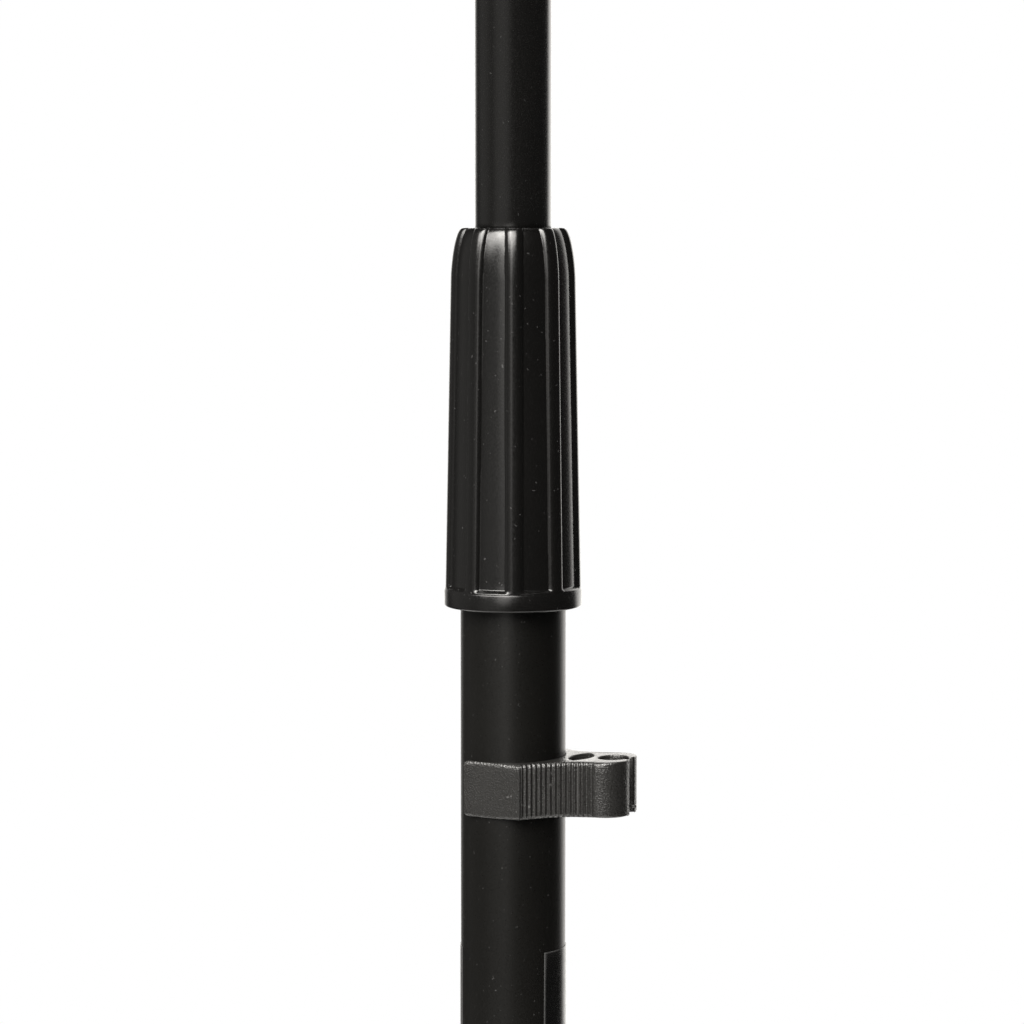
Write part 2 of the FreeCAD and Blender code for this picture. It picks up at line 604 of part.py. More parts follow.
# ---------------------------------------------------------------- head
def make_tilt_socket():
    """The casting on top of the column: a sleeve, a screw boss and the tongue of the tilt joint."""
    sleeve = cylinder("SocketSleeve", "socket_rad", "socket_top - socket_base", z="socket_base")
    boss = cylinder("SocketBoss", "screw_boss_rad", "screw_boss_out", z="screw_z", along="Y")
    web = box("TongueWeb", "tongue_thick", "2 * tongue_rad", "pivot_z - socket_top + socket_roof / 2",
              x="-tongue_thick / 2", y="-tongue_rad", z="socket_top - socket_roof / 2")
    eye = cylinder("TongueEye", "tongue_rad", "tongue_thick", x="-tongue_thick / 2", z="pivot_z", along="X")
    bore = cylinder("SocketBore", "upper_rad + fit_gap", "socket_depth + fit_gap", z="socket_base")
    thread = cylinder("ScrewHole", "screw_rad + fit_gap", "2 * screw_boss_out", z="screw_z", along="Y")
    hole = cylinder("TongueHole", "tilt_bolt_rad + fit_gap", "2 * tongue_thick", x="-tongue_thick",
                    z="pivot_z", along="X")
    keep(cut("TiltSocket", fuse("SocketSolid", sleeve, boss, web, eye), bore, thread, hole), "tilt_socket")


def lobed_knob(name, radius, length, lobes, lobe_radius, bore, bore_depth):
    """A knob along +Z with round lobes and a blind bore from its base."""
    reach = "(" + radius + " - " + lobe_radius + ")"
    pieces = [cylinder(name + "_core", reach, length)]
    count = int(size(lobes))
    for index in range(count):
        angle = "(%d * 360 / %s)" % (index, lobes)
        pieces.append(cylinder("%s_lobe%d" % (name, index), lobe_radius, length, x=reach + " * cos" + angle,
                               y=reach + " * sin" + angle))
    return cut(name, fuse(name + "_solid", *pieces), cylinder(name + "_bore", bore, bore_depth))


def make_head_screw():
    """The thumb screw that clamps the socket on the upper tube."""
    start = "upper_rad + fit_gap"
    into = "screw_knob_long / 2"
    stud = cylinder("ScrewStud", "screw_rad", "screw_knob_in + " + into + " - (" + start + ")", y=start,
                    z="screw_z", along="Y")
    keep(stud, "head_screw_stud")
    knob = lobed_knob("ScrewKnob", "screw_knob_rad", "screw_knob_long", "screw_knob_lobes", "screw_knob_lobe",
                      "screw_rad + fit_gap", into + " + fit_gap")
    spot = FreeCAD.Vector(0, size("screw_knob_in"), size("screw_z"))
    keep(knob, "head_screw_knob", FreeCAD.Placement(spot, TURN_TO["Y"]))


def desk_placement():
    """From the desk's own frame, upright with the tilt axis at the origin, to the stand's."""
    lean = FreeCAD.Rotation(FreeCAD.Vector(1, 0, 0), -size("desk_lean"))
    return FreeCAD.Placement(FreeCAD.Vector(0, 0, size("pivot_z")), lean)


def yoke_rivet_spots():
    return [(x + "yoke_rivet_across", z + "yoke_rivet_up") for x in ("-", "") for z in ("-", "")]


def shelf_rivet_spots():
    last = int(size("shelf_rivet_count")) - 1
    step = "(desk_wide - 2 * shelf_short - 2 * shelf_rivet_in) / %d" % last
    across = "-(desk_wide / 2 - shelf_short - shelf_rivet_in) + "
    return [(across + str(index) + " * " + step, "shelf_rivet_up - desk_below") for index in range(last + 1)]


def make_tilt_yoke():
    """The fork behind the desk that straddles the tongue."""
    plate = box("YokePlate", "yoke_wide", "yoke_thick", "yoke_high", x="-yoke_wide / 2",
                y="-desk_out + fit_gap", z="-yoke_high / 2")
    pieces = [plate]
    for side, start in (("Left", "-ear_out"), ("Right", "ear_in")):
        pieces.append(box("YokeArm" + side, "yoke_thick", "desk_out - yoke_thick / 2", "2 * yoke_rad",
                          x=start, y="-desk_out + yoke_thick / 2", z="-yoke_rad"))
        pieces.append(cylinder("YokeEye" + side, "yoke_rad", "yoke_thick", x=start, along="X"))
    holes = [cylinder("YokeHole", "tilt_bolt_rad + fit_gap", "4 * ear_out", x="-2 * ear_out", along="X")]
    for index, (x, z) in enumerate(yoke_rivet_spots()):
        holes.append(cylinder("YokeRivetHole%d" % index, "rivet_rad + fit_gap", "4 * yoke_thick", x=x,
                              y="-desk_out - yoke_thick", z=z, along="Y"))
    keep(cut("TiltYoke", fuse("YokeSolid", *pieces), *holes), "tilt_yoke", desk_placement())


def make_desk_plate():
    """The sheet-metal desk, with rounded corners and holes for the rivets."""
    body = new_body("DeskPlate")
    sketch = new_sketch(body, "Desk_outline", "XZ_Plane")
    corner = "desk_corner"
    right = "desk_wide / 2"
    left = "-desk_wide / 2"
    foot = "-desk_below"
    top = "desk_above"
    near = "(1 - sqrt(0.5)) * desk_corner"
    outline(sketch, [(left, foot), (right, foot), (right, top + " - " + corner),
                     (right + " - " + corner, top), (left + " + " + corner, top),
                     (left, top + " - " + corner)],
            {2: (right + " - " + near, top + " - " + near), 4: (left + " + " + near, top + " - " + near)})
    for x, z in yoke_rivet_spots() + shelf_rivet_spots():
        round_hole(sketch, x, z, "rivet_rad + fit_gap")
    pad(body, sketch, "Desk_sheet", "desk_thick", midplane=True)
    middle = FreeCAD.Vector(0, -size("desk_out") - size("desk_thick") / 2, 0)
    keep(body, "desk_plate", desk_placement() * FreeCAD.Placement(middle, FreeCAD.Rotation()))


def make_music_shelf():
    """A bent strip: a tab behind the desk, the shelf under it, and a lip along the front."""
    body = new_body("MusicShelf")
    sketch = new_sketch(body, "Shelf_section", "YZ_Plane")
    back = "-desk_out + fit_gap + shelf_thick"
    tab_face = "-desk_out + fit_gap"
    front = "-desk_front - shelf_deep"
    floor = "-desk_below - fit_gap"
    under = "-desk_below - fit_gap - shelf_thick"
    outline(sketch, [(back, under), (back, "shelf_tab - desk_below"), (tab_face, "shelf_tab - desk_below"),
                     (tab_face, floor), (front, floor), (front, "shelf_lip - desk_below"),
                     (front + " - shelf_thick", "shelf_lip - desk_below"), (front + " - shelf_thick", under)])
    pad(body, sketch, "Shelf_strip", "desk_wide - 2 * shelf_short", midplane=True)
    holes = new_sketch(body, "Shelf_holes", "XZ_Plane")
    for x, z in shelf_rivet_spots():
        round_hole(holes, x, z, "rivet_rad + fit_gap")
    pocket(body, holes, "Shelf_rivet_holes", "3 * desk_out + 3 * shelf_deep", midplane=True)
    keep(body, "music_shelf", desk_placement())


def rivets(name, spots, thickness):
    """Rivets through the desk and the sheet behind it, as separate solids."""
    solids = []
    for index, (x, z) in enumerate(spots):
        label = "%s%d" % (name, index)
        shank = cylinder(label + "_shank", "rivet_rad", "desk_thick + 3 * fit_gap + " + thickness, x=x,
                         y="-desk_front - fit_gap", z=z, along="Y")
        front = cylinder(label + "_front", "rivet_head_rad", "rivet_head_high", x=x,
                         y="-desk_front - fit_gap - rivet_head_high", z=z, along="Y")
        back = cylinder(label + "_back", "rivet_head_rad", "rivet_head_high", x=x,
                        y="-desk_out + 2 * fit_gap + " + thickness, z=z, along="Y")
        solids.append(fuse(label, shank, front, back))
    return group("Part::Compound", name, solids)


def make_tilt_hardware():
    end = "ear_out + fit_gap"
    outer_face = "-(" + end + ") - tilt_head_high"
    head = cylinder("TiltBoltHead", "tilt_head_rad", "tilt_head_high", x=outer_face, along="X")
    length = end + " + knob_in + tilt_knob_long / 2"
    shank = cylinder("TiltBoltShank", "tilt_bolt_rad", length, x="-(" + end + ")", along="X")
    keep(fuse("TiltBolt", head, shank), "tilt_bolt", desk_placement())
    washers = []
    left = "-tongue_thick / 2 - fit_gap - friction_thick"
    right = "tongue_thick / 2 + fit_gap"
    for side, start in (("Left", left), ("Right", right)):
        washers.append(tube("Friction" + side, "friction_rad", "tilt_bolt_rad + fit_gap", "friction_thick",
                            x=start, along="X"))
    keep(group("Part::Compound", "FrictionWashers", washers), "friction_washers", desk_placement())
    knob = lobed_knob("TiltKnob", "tilt_knob_rad", "tilt_knob_long", "tilt_knob_lobes", "tilt_knob_lobe",
                      "tilt_bolt_rad + fit_gap", "tilt_knob_long / 2 + fit_gap")
    outward = FreeCAD.Placement(FreeCAD.Vector(size("knob_in"), 0, 0), TURN_TO["X"])
    keep(knob, "tilt_knob", desk_placement() * outward)


make_lower_tube()
make_upper_tube()
make_guide_bush()
make_tube_plug()
make_label()
make_clutch_insert()
make_clutch_collet()
make_clutch_grip()
make_cable_clip()
make_base_hub()
make_base_fastening()
make_legs()
make_tilt_socket()
make_head_screw()
make_tilt_yoke()
make_desk_plate()
make_music_shelf()
make_tilt_hardware()
keep(rivets("YokeRivets", yoke_rivet_spots(), "yoke_thick"), "yoke_rivets", desk_placement())
keep(rivets("ShelfRivets", shelf_rivet_spots(), "shelf_thick"), "shelf_rivets", desk_placement())

# ---------------------------------------------------------------- checks and export
doc.recompute()
for obj in doc.Objects:
    faults = [state for state in obj.State if state in ("Invalid", "Error")]
    if faults:
        raise RuntimeError("%s is %s" % (obj.Label, ", ".join(faults)))
for part in PARTS:
    if part.Shape.isNull() or not part.Shape.isValid():
        raise RuntimeError(part.Label + " has no valid shape")

os.makedirs("parts", exist_ok=True)
for part in PARTS:
    part.Shape.exportStep(os.path.join("parts", part.Label + ".step"))
    print("%-18s %2d solids %12.1f mm3" % (part.Label, len(part.Shape.Solids), part.Shape.Volume))
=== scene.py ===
import json
import math

import bmesh
import bpy
from mathutils import Matrix, Vector
from mathutils.geometry import tessellate_polygon


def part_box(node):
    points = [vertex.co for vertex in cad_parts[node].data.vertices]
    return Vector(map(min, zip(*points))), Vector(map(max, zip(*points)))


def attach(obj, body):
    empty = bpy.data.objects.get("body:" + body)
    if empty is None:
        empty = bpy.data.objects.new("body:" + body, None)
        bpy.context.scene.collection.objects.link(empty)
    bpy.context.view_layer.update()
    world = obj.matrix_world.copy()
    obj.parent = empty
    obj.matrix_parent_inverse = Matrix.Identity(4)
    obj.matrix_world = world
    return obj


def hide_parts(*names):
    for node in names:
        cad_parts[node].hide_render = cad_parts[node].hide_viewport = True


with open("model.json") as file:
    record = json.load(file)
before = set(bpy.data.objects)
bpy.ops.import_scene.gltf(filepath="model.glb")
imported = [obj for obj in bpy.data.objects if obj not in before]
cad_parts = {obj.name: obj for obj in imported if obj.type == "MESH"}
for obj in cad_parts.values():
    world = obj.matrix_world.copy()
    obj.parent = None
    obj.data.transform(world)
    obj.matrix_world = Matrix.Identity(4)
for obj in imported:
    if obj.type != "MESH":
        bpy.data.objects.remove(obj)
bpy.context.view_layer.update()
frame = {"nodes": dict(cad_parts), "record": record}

# A music stand. Meshes are written in millimetres and scaled to metres in new_piece; materials,
# camera and floor are in metres. The player is on the -Y side and the column is the Z axis.

MM = 0.001
TAU = 2 * math.pi
FIT = 0.05               # clearance between pieces that fit together


# ---------------------------------------------------------------- places from the frame, in mm
def low(node):
    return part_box(node)[0] / MM


def high(node):
    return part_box(node)[1] / MM


def half_width(node):
    return (high(node)[0] - low(node)[0]) / 2


def joint_place(name):
    """Where a joint's axis passes."""
    for joint in frame["record"]["behaviour"]["joints"]:
        if joint["name"] == name:
            return Vector(joint["pos_m"]) / MM
    raise ValueError(name)


LOWER_RAD = half_width("lower_tube")
UPPER_RAD = half_width("upper_tube")
LOWER_WALL = 1.5
UPPER_WALL = 1.2
GRIP_TOP = high("clutch_grip")[2]
GRIP_BASE = low("clutch_grip")[2]

# Turns from a lathe's Z to another axis, and from a flat outline to an upright one.
TO_X = Matrix.Rotation(math.pi / 2, 4, "Y")
TO_Y = Matrix.Rotation(-math.pi / 2, 4, "X")
FRONT_PLAN = Matrix.Rotation(math.pi / 2, 4, "X")        # outline in X and Z, thickness towards -Y
SIDE_PLAN = Matrix(((0, 0, 1, 0), (1, 0, 0, 0), (0, 1, 0, 0), (0, 0, 0, 1)))   # in Y and Z, along +X


def shift(x=0.0, y=0.0, z=0.0):
    return Matrix.Translation((x, y, z))


# ---------------------------------------------------------------- outlines
def smoothstep(low_edge, high_edge, x):
    t = min(1.0, max(0.0, (x - low_edge) / (high_edge - low_edge)))
    return t * t * (3 - 2 * t)


def polar(radius, degrees):
    return Vector((radius * math.cos(math.radians(degrees)), radius * math.sin(math.radians(degrees))))


def arc(start, through, end, steps):
    """Points from start to end, both included, on the circle through a third point."""
    a, b, c = (Vector(p) for p in (start, through, end))
    d = 2 * (a.x * (b.y - c.y) + b.x * (c.y - a.y) + c.x * (a.y - b.y))
    centre = Vector((a.dot(a) * (b.y - c.y) + b.dot(b) * (c.y - a.y) + c.dot(c) * (a.y - b.y),
                     a.dot(a) * (c.x - b.x) + b.dot(b) * (a.x - c.x) + c.dot(c) * (b.x - a.x))) / d
    first, middle, last = (math.atan2(p.y - centre.y, p.x - centre.x) for p in (a, b, c))
    sweep = (last - first) % TAU
    if (middle - first) % TAU > sweep:
        sweep -= TAU
    radius = (a - centre).length
    angles = [first + sweep * k / steps for k in range(steps + 1)]
    return [centre + Vector((radius * math.cos(t), radius * math.sin(t))) for t in angles]


def rectangle(left, right, bottom, top):
    """Corners in order. For a lathe, left and right are the inner and outer radius."""
    return [(left, bottom), (right, bottom), (right, top), (left, top)]


def circle(x, y, radius, count=32):
    return [Vector((x + radius * math.cos(TAU * k / count), y + radius * math.sin(TAU * k / count)))
            for k in range(count)]


def rounded(points, radii, steps=5):
    """A closed outline with each corner rounded by its own radius, 0 for a sharp one."""
    out = []
    count = len(points)
    for index, radius in enumerate(radii):
        here = Vector(points[index])
        before = (Vector(points[index - 1]) - here).normalized()
        after = (Vector(points[(index + 1) % count]) - here).normalized()
        turn = before.angle(after)
        if radius <= 0 or abs(turn - math.pi) < 1e-4:
            out.append(here)
            continue
        reach = radius / math.tan(turn / 2)
        middle = here + (before + after).normalized() * (radius / math.sin(turn / 2) - radius)
        out += arc(here + before * reach, middle, here + after * reach, steps)
    return out


def double_headed(head, shank, back, front, dome, corner):
    """The outline of a pin or rivet, whose shank from back to front has a domed head at each end."""
    start, end = back - dome, front + dome
    return rounded([(0, start), (head, start), (head, back), (shank, back), (shank, front),
                    (head, front), (head, end), (0, end)], [0, corner, 0.1, 0, 0, 0.1, corner, 0], 6)


def counter_clockwise(points):
    points = [Vector(p) for p in points]
    area = sum(points[i - 1].x * p.y - p.x * points[i - 1].y for i, p in enumerate(points))
    return points if area > 0 else points[::-1]


def outward(points):
    """Normals of a counter-clockwise outline, longer at corners so that an offset keeps its width."""
    normals = []
    for index, here in enumerate(points):
        before = (here - points[index - 1]).normalized()
        after = (points[(index + 1) % len(points)] - here).normalized()
        mean = (before + after).normalized()
        normal = Vector((mean.y, -mean.x))
        stretch = max(0.6, normal.dot(Vector((after.y, -after.x))))
        normals.append(normal / stretch)
    return normals


# ---------------------------------------------------------------- solids
def skin(bm, rings, closed=False):
    """Joins a run of rings of corners with faces. A ring of one corner is a point on the axis."""
    pairs = list(zip(rings, rings[1:])) + ([(rings[-1], rings[0])] if closed else [])
    for ring, after in pairs:
        for k in range(max(len(ring), len(after))):
            corners = [ring[k % len(ring)], ring[(k + 1) % len(ring)],
                       after[(k + 1) % len(after)], after[k % len(after)]]
            unique = [c for i, c in enumerate(corners) if c not in corners[:i]]
            if len(unique) > 2:
                bm.faces.new(unique)


def cap(bm, loops):
    """A flat face between an outer ring of corners and the rings of its holes."""
    corners = [corner for loop in loops for corner in loop]
    flat = [[corner.co.copy() for corner in loop] for loop in loops]
    for triangle in tessellate_polygon(flat):
        bm.faces.new([corners[k] for k in triangle])


def lathe(outline, segments=96, place=Matrix(), bm=None):
    """A closed (radius, height) outline turned about Z."""
    bm = bm or bmesh.new()
    rings = []
    for radius, height in outline:
        if radius < 1e-5:
            rings.append([bm.verts.new(place @ Vector((0, 0, height)))])
            continue
        rings.append([bm.verts.new(place @ Vector((radius * math.cos(TAU * k / segments),
                                                   radius * math.sin(TAU * k / segments), height)))
                      for k in range(segments)])
    skin(bm, rings, closed=True)
    return bm


def rim(bottom, top, edge, steps=4):
    """The (inset, height) pairs of a wall with both edges rounded."""
    angles = [math.pi / 2 * k / steps for k in range(steps + 1)]
    lower = [(edge * (1 - math.sin(a)), bottom + edge * (1 - math.cos(a))) for a in angles]
    return lower + [(inset, top + bottom - height) for inset, height in reversed(lower)]


def wall(bm, outline, levels, place, inward=1.0):
    """A wall that follows an outline through (inset, height) levels, with its rings of corners."""
    outline = counter_clockwise(outline)
    normals = outward(outline)
    rings = []
    for inset, height in levels:
        rings.append([bm.verts.new(place @ Vector((*(p - n * inset * inward), height)))
                      for p, n in zip(outline, normals)])
    skin(bm, rings)
    return rings


def prism(outline, bottom, top, edge=0.5, holes=(), hole_edge=0.2, place=Matrix(), bm=None):
    """A plate with rounded edges, and holes through it."""
    bm = bm or bmesh.new()
    walls = [wall(bm, outline, rim(bottom, top, edge), place)]
    for hole in holes:
        walls.append(wall(bm, hole, rim(bottom, top, hole_edge), place, inward=-1.0))
    cap(bm, [rings[0] for rings in walls])
    cap(bm, [rings[-1] for rings in walls])
    return bm


def add_object(name, bm):
    mesh = bpy.data.meshes.new(name)
    bm.to_mesh(mesh)
    bm.free()
    new = bpy.data.objects.new(name, mesh)
    bpy.context.scene.collection.objects.link(new)
    return new


def new_piece(name, bm, body, nodes, sharp=40.0):
    """Makes a piece from a mesh in mm. It rides on a body, stands for CAD nodes and has their slot."""
    bmesh.ops.scale(bm, vec=(MM, MM, MM), verts=bm.verts)
    bmesh.ops.recalc_face_normals(bm, faces=bm.faces)
    piece = add_object(name, bm)
    piece.data.shade_smooth()
    piece.data.set_sharp_from_angle(angle=math.radians(sharp))
    slot = SLOT_OF[nodes[0]]
    piece.data.materials.append(SLOT_MATERIALS[slot])
    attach(piece, body)
    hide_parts(*nodes)


def cast(bm, voxel, smoothing):
    """Fuses overlapping solids into one skin with the soft inner corners of a casting."""
    bmesh.ops.recalc_face_normals(bm, faces=bm.faces)
    holder = add_object("rough_casting", bm)
    rough = holder.data
    remesh = holder.modifiers.new("fuse", "REMESH")
    remesh.mode = "VOXEL"
    remesh.voxel_size = voxel
    ready = holder.evaluated_get(bpy.context.evaluated_depsgraph_get())
    out = bmesh.new()
    out.from_mesh(ready.to_mesh())
    ready.to_mesh_clear()
    bpy.data.objects.remove(holder)
    bpy.data.meshes.remove(rough)
    for _ in range(smoothing):
        bmesh.ops.smooth_vert(out, verts=out.verts, factor=0.5, use_axis_x=True, use_axis_y=True,
                              use_axis_z=True)
    return out


# ---------------------------------------------------------------- materials
NOISE_LOW = 0.3          # a noise texture stays mostly between these two
NOISE_HIGH = 0.7
# where the paler edges start and are full; they are partly wear and partly a painted highlight
EDGE_START = 0.52        # Pointiness is 0.5 on a flat surface and more on a convex edge
EDGE_FULL = 0.60
PEEL_SCALE = 700.0       # orange peel of a powder coat; scales are per metre, depths in mm
PEEL_DEPTH = 0.03
FLOW_SCALE = 180.0
PIT_SCALE = 3000.0


def add_node(tree, kind, values=None):
    """A shader node with some of its inputs set."""
    node = tree.nodes.new("ShaderNode" + kind)
    for name, value in (values or {}).items():
        node.inputs[name].default_value = value
    return node


def new_material(name):
    material = bpy.data.materials.new(name)
    material.use_nodes = True
    tree = material.node_tree
    tree.nodes.clear()
    output = add_node(tree, "OutputMaterial")
    shader = add_node(tree, "BsdfPrincipled")
    tree.links.new(shader.outputs["BSDF"], output.inputs["Surface"])
    return material, tree, shader


def noise(tree, scale, detail=2.0, stretch=(1, 1, 1)):
    where = add_node(tree, "TexCoord")
    mapping = add_node(tree, "Mapping", {"Scale": stretch})
    tree.links.new(where.outputs["Object"], mapping.inputs["Vector"])
    texture = add_node(tree, "TexNoise", {"Scale": scale, "Detail": detail})
    tree.links.new(mapping.outputs["Vector"], texture.inputs["Vector"])
    return texture.outputs["Fac"]


def ramp(tree, value, stops):
    """Colours along a value: stops are (position, colour) pairs."""
    node = add_node(tree, "ValToRGB")
    elements = node.color_ramp.elements
    while len(elements) > 1:
        elements.remove(elements[-1])
    for index, (position, colour) in enumerate(stops):
        element = elements[0] if index == 0 else elements.new(position)
        element.position = position
        element.color = (*colour, 1)
    tree.links.new(value, node.inputs["Fac"])
    return node.outputs["Color"]


def grey(value):
    return (value, value, value)


def to_range(tree, value, low_out, high_out):
    """Maps a noise value on to a range of roughness."""
    node = add_node(tree, "MapRange", {"From Min": NOISE_LOW, "From Max": NOISE_HIGH,
                                       "To Min": low_out, "To Max": high_out})
    tree.links.new(value, node.inputs["Value"])
    return node.outputs["Result"]


def add_colours(tree, first, second):
    mix = add_node(tree, "Mix")
    mix.data_type = "RGBA"
    mix.blend_type = "ADD"
    mix.inputs["Factor"].default_value = 1.0
    tree.links.new(first, mix.inputs["A"])
    tree.links.new(second, mix.inputs["B"])
    return mix.outputs["Result"]


def bump(tree, shader, layers):
    """Stacks bump layers: each is (height, strength, distance in metres)."""
    normal = None
    for height, strength, distance in layers:
        node = add_node(tree, "Bump", {"Strength": strength, "Distance": distance})
        tree.links.new(height, node.inputs["Height"])
        if normal is not None:
            tree.links.new(normal, node.inputs["Normal"])
        normal = node.outputs["Normal"]
    tree.links.new(normal, shader.inputs["Normal"])


def mottled(tree, colour, scale, spread):
    """A base colour that drifts a little lighter and darker."""
    darker = [c * (1 - spread) for c in colour]
    lighter = [c * (1 + spread) for c in colour]
    return ramp(tree, noise(tree, scale, 3.0), [(NOISE_LOW, darker), (NOISE_HIGH, lighter)])


def dusted(tree, base, scale, start, full, amount):
    """A base colour with a few pale specks, on the peaks of a noise."""
    peaks = noise(tree, scale, 1.0)
    return add_colours(tree, base, ramp(tree, peaks, [(start, grey(0)), (full, grey(amount))]))


# Paler edges are partly wear and partly a painted highlight.
def worn_and_highlit_edges(tree, base, amount):
    """Paler convex edges: partly wear where handling has rubbed the surface, partly a painted highlight
    where the edges catch the light.
    """
    geometry = add_node(tree, "NewGeometry")
    stops = [(EDGE_START, grey(0)), (EDGE_FULL, grey(amount))]
    return add_colours(tree, base, ramp(tree, geometry.outputs["Pointiness"], stops))


def set_finish(tree, shader, base, grain, roughness, specular):
    """Colour, specular level, and a roughness (least, most) that follows the grain."""
    tree.links.new(base, shader.inputs["Base Color"])
    tree.links.new(to_range(tree, grain, *roughness), shader.inputs["Roughness"])
    shader.inputs["Specular IOR Level"].default_value = specular


def coated(name, colour, roughness, specular, grain=3600.0, grain_depth=0.05, specks=0.025, edge_wear_and_highlight=0.0):
    """Powder coat: a fine orange peel, small variations of shade, and a few pale specks of dust."""
    material, tree, shader = new_material(name)
    fine = noise(tree, grain, 2.0)
    base = mottled(tree, colour, 60.0, 0.12)
    base = dusted(tree, base, 1500.0, 0.74, 0.80, specks)
    # paler convex edges: wear plus a painted edge highlight
    if edge_wear_and_highlight:
        base = worn_and_highlit_edges(tree, base, edge_wear_and_highlight)
    set_finish(tree, shader, base, fine, (roughness - 0.05, roughness + 0.07), specular)
    peel = noise(tree, PEEL_SCALE, 2.0)
    bump(tree, shader, [(peel, 0.25, PEEL_DEPTH * MM), (fine, 0.5, grain_depth * MM)])
    return material


def moulded(name, colour, roughness, specular, grain=2500.0, grain_depth=0.02, wave=0.0, pits=0.0,
            specks=0.0, edge_wear_and_highlight=0.0):
    """Moulded plastic: fine texture, faint flow marks, and an optional pebble grain."""
    material, tree, shader = new_material(name)
    base = mottled(tree, colour, 45.0, 0.1)
    fine = noise(tree, grain, 2.0)
    if specks:
        base = dusted(tree, base, 1100.0, 0.74, 0.79, specks)
    # paler convex edges: wear plus a painted edge highlight, on the clip's rib ends and the label's cut edge
    if edge_wear_and_highlight:
        base = worn_and_highlit_edges(tree, base, edge_wear_and_highlight)
    set_finish(tree, shader, base, fine, (roughness - 0.04, roughness + 0.06), specular)
    layers = [(fine, 0.5, grain_depth * MM)]
    if wave:
        layers.append((noise(tree, FLOW_SCALE, 1.0), 0.3, wave * MM))
    if pits:
        cells = add_node(tree, "TexVoronoi", {"Scale": PIT_SCALE})
        where = add_node(tree, "TexCoord")
        tree.links.new(where.outputs["Object"], cells.inputs["Vector"])
        layers.append((cells.outputs["Distance"], 0.7, pits * MM))
    bump(tree, shader, layers)
    return material


def plated(name):
    """Zinc-plated steel with fine brushing."""
    material, tree, shader = new_material(name)
    streaks = noise(tree, 900.0, 3.0, stretch=(1, 1, 0.2))
    base = ramp(tree, streaks, [(NOISE_LOW, (0.42, 0.42, 0.40)), (NOISE_HIGH, (0.60, 0.60, 0.57))])
    tree.links.new(base, shader.inputs["Base Color"])
    shader.inputs["Metallic"].default_value = 1.0
    tree.links.new(to_range(tree, streaks, 0.28, 0.45), shader.inputs["Roughness"])
    bump(tree, shader, [(streaks, 0.3, 0.01 * MM)])
    return material


POWDER_LOWER = coated("powder_coat_lower", (0.0027, 0.0026, 0.0023), 0.32, specular=0.20, grain_depth=0.018)
POWDER_UPPER = coated("powder_coat_upper", (0.0026, 0.0025, 0.0023), 0.22, specular=0.62, grain_depth=0.012)
DESK_COAT = coated("desk_coat", (0.006, 0.0058, 0.0054), 0.55, specular=0.1)
CAST_BLACK = coated("cast_black", (0.006, 0.006, 0.0057), 0.5, specular=0.25, grain=1800.0, grain_depth=0.08,
                    edge_wear_and_highlight=0.01)
GRIP_PLASTIC = moulded("grip_plastic", (0.0022, 0.0021, 0.0020), 0.20, specular=0.46, wave=0.015,
                       specks=0.03)
CLIP_PLASTIC = moulded("clip_plastic", (0.009, 0.0087, 0.0082), 0.30, specular=0.6, grain=2600.0, pits=0.11,
                       specks=0.05, edge_wear_and_highlight=0.02)
KNOB_PLASTIC = moulded("knob_plastic", (0.007, 0.007, 0.0067), 0.38, specular=0.4, pits=0.05)
LABEL_FILM = moulded("label_film", (0.0022, 0.0022, 0.0022), 0.24, specular=0.3, grain=900.0,
                     grain_depth=0.01, specks=0.03, edge_wear_and_highlight=0.05)
NYLON = moulded("nylon", (0.02, 0.02, 0.02), 0.45, specular=0.4)
RUBBER = moulded("rubber", (0.006, 0.006, 0.006), 0.62, specular=0.2, grain=1500.0, grain_depth=0.05)
STEEL = plated("zinc_steel")

SLOT_MATERIALS = {
    "powder_coat": POWDER_LOWER, "powder_coat_upper": POWDER_UPPER, "desk_coat": DESK_COAT,
    "cast_black": CAST_BLACK, "grip_plastic": GRIP_PLASTIC, "clip_plastic": CLIP_PLASTIC,
    "knob_plastic": KNOB_PLASTIC, "label_film": LABEL_FILM, "nylon": NYLON, "foot_rubber": RUBBER,
    "zinc_steel": STEEL, "rivet_black": CAST_BLACK,
}
SLOT_OF = {part["node"]: part["material_slot"] for part in frame["record"]["subparts"]}


def dress_cad_nodes():
    """Gives every CAD node the material of its slot."""
    for name, slot in SLOT_OF.items():
        node = frame["nodes"][name]
        if not node.material_slots:
            node.data.materials.append(SLOT_MATERIALS[slot])
        for entry in node.material_slots:
            entry.link = "OBJECT"
            entry.material = SLOT_MATERIALS[slot]


# ---------------------------------------------------------------- column
def make_tubes():
    edge = 0.25
    for node, radius, thick, body in (("lower_tube", LOWER_RAD, LOWER_WALL, "base"),
                                      ("upper_tube", UPPER_RAD, UPPER_WALL, "mast")):
        outline = rectangle(radius - thick, radius, low(node)[2], high(node)[2])
        outline = rounded(outline, [edge] * 4, 4)
        new_piece(node + "_skin", lathe(outline, 128), body, [node])


# ---------------------------------------------------------------- clutch grip
RIDGES = 9
FIRST_RIDGE = math.radians(-90 + 0.9)      # just right of the front
SHOULDER = 11.0          # height of the domed part
DOME_POWER = 1.6         # 2 would be an ellipse
FLANGE_HIGH = 3.75
LEDGE = GRIP_BASE + FLANGE_HIGH
LEDGE_SLOPE = 0.9        # height over which a panel's foot runs out to the flange
FLANGE_RAD = half_width("clutch_grip")
FLANGE_BEVEL = 0.5
FLANGE_FALL = 0.3        # how far the flange's edge lies below the ledge
CREST_LOW = FLANGE_RAD - 0.1
CREST_TOP = FLANGE_RAD - 1.3
MOUTH_RAD = FLANGE_RAD - 3.8
PANEL_DEPTH = 0.85
RIDGE_HALF = 2.05
THROAT_RAD = UPPER_RAD + 0.5
THROAT_DEEP = 7.0
CONE_RAD = LOWER_RAD - 0.2
CONE_DEEP = 25.0
SKIRT_GAP = 0.3
BORE_CHAMFER = 0.3


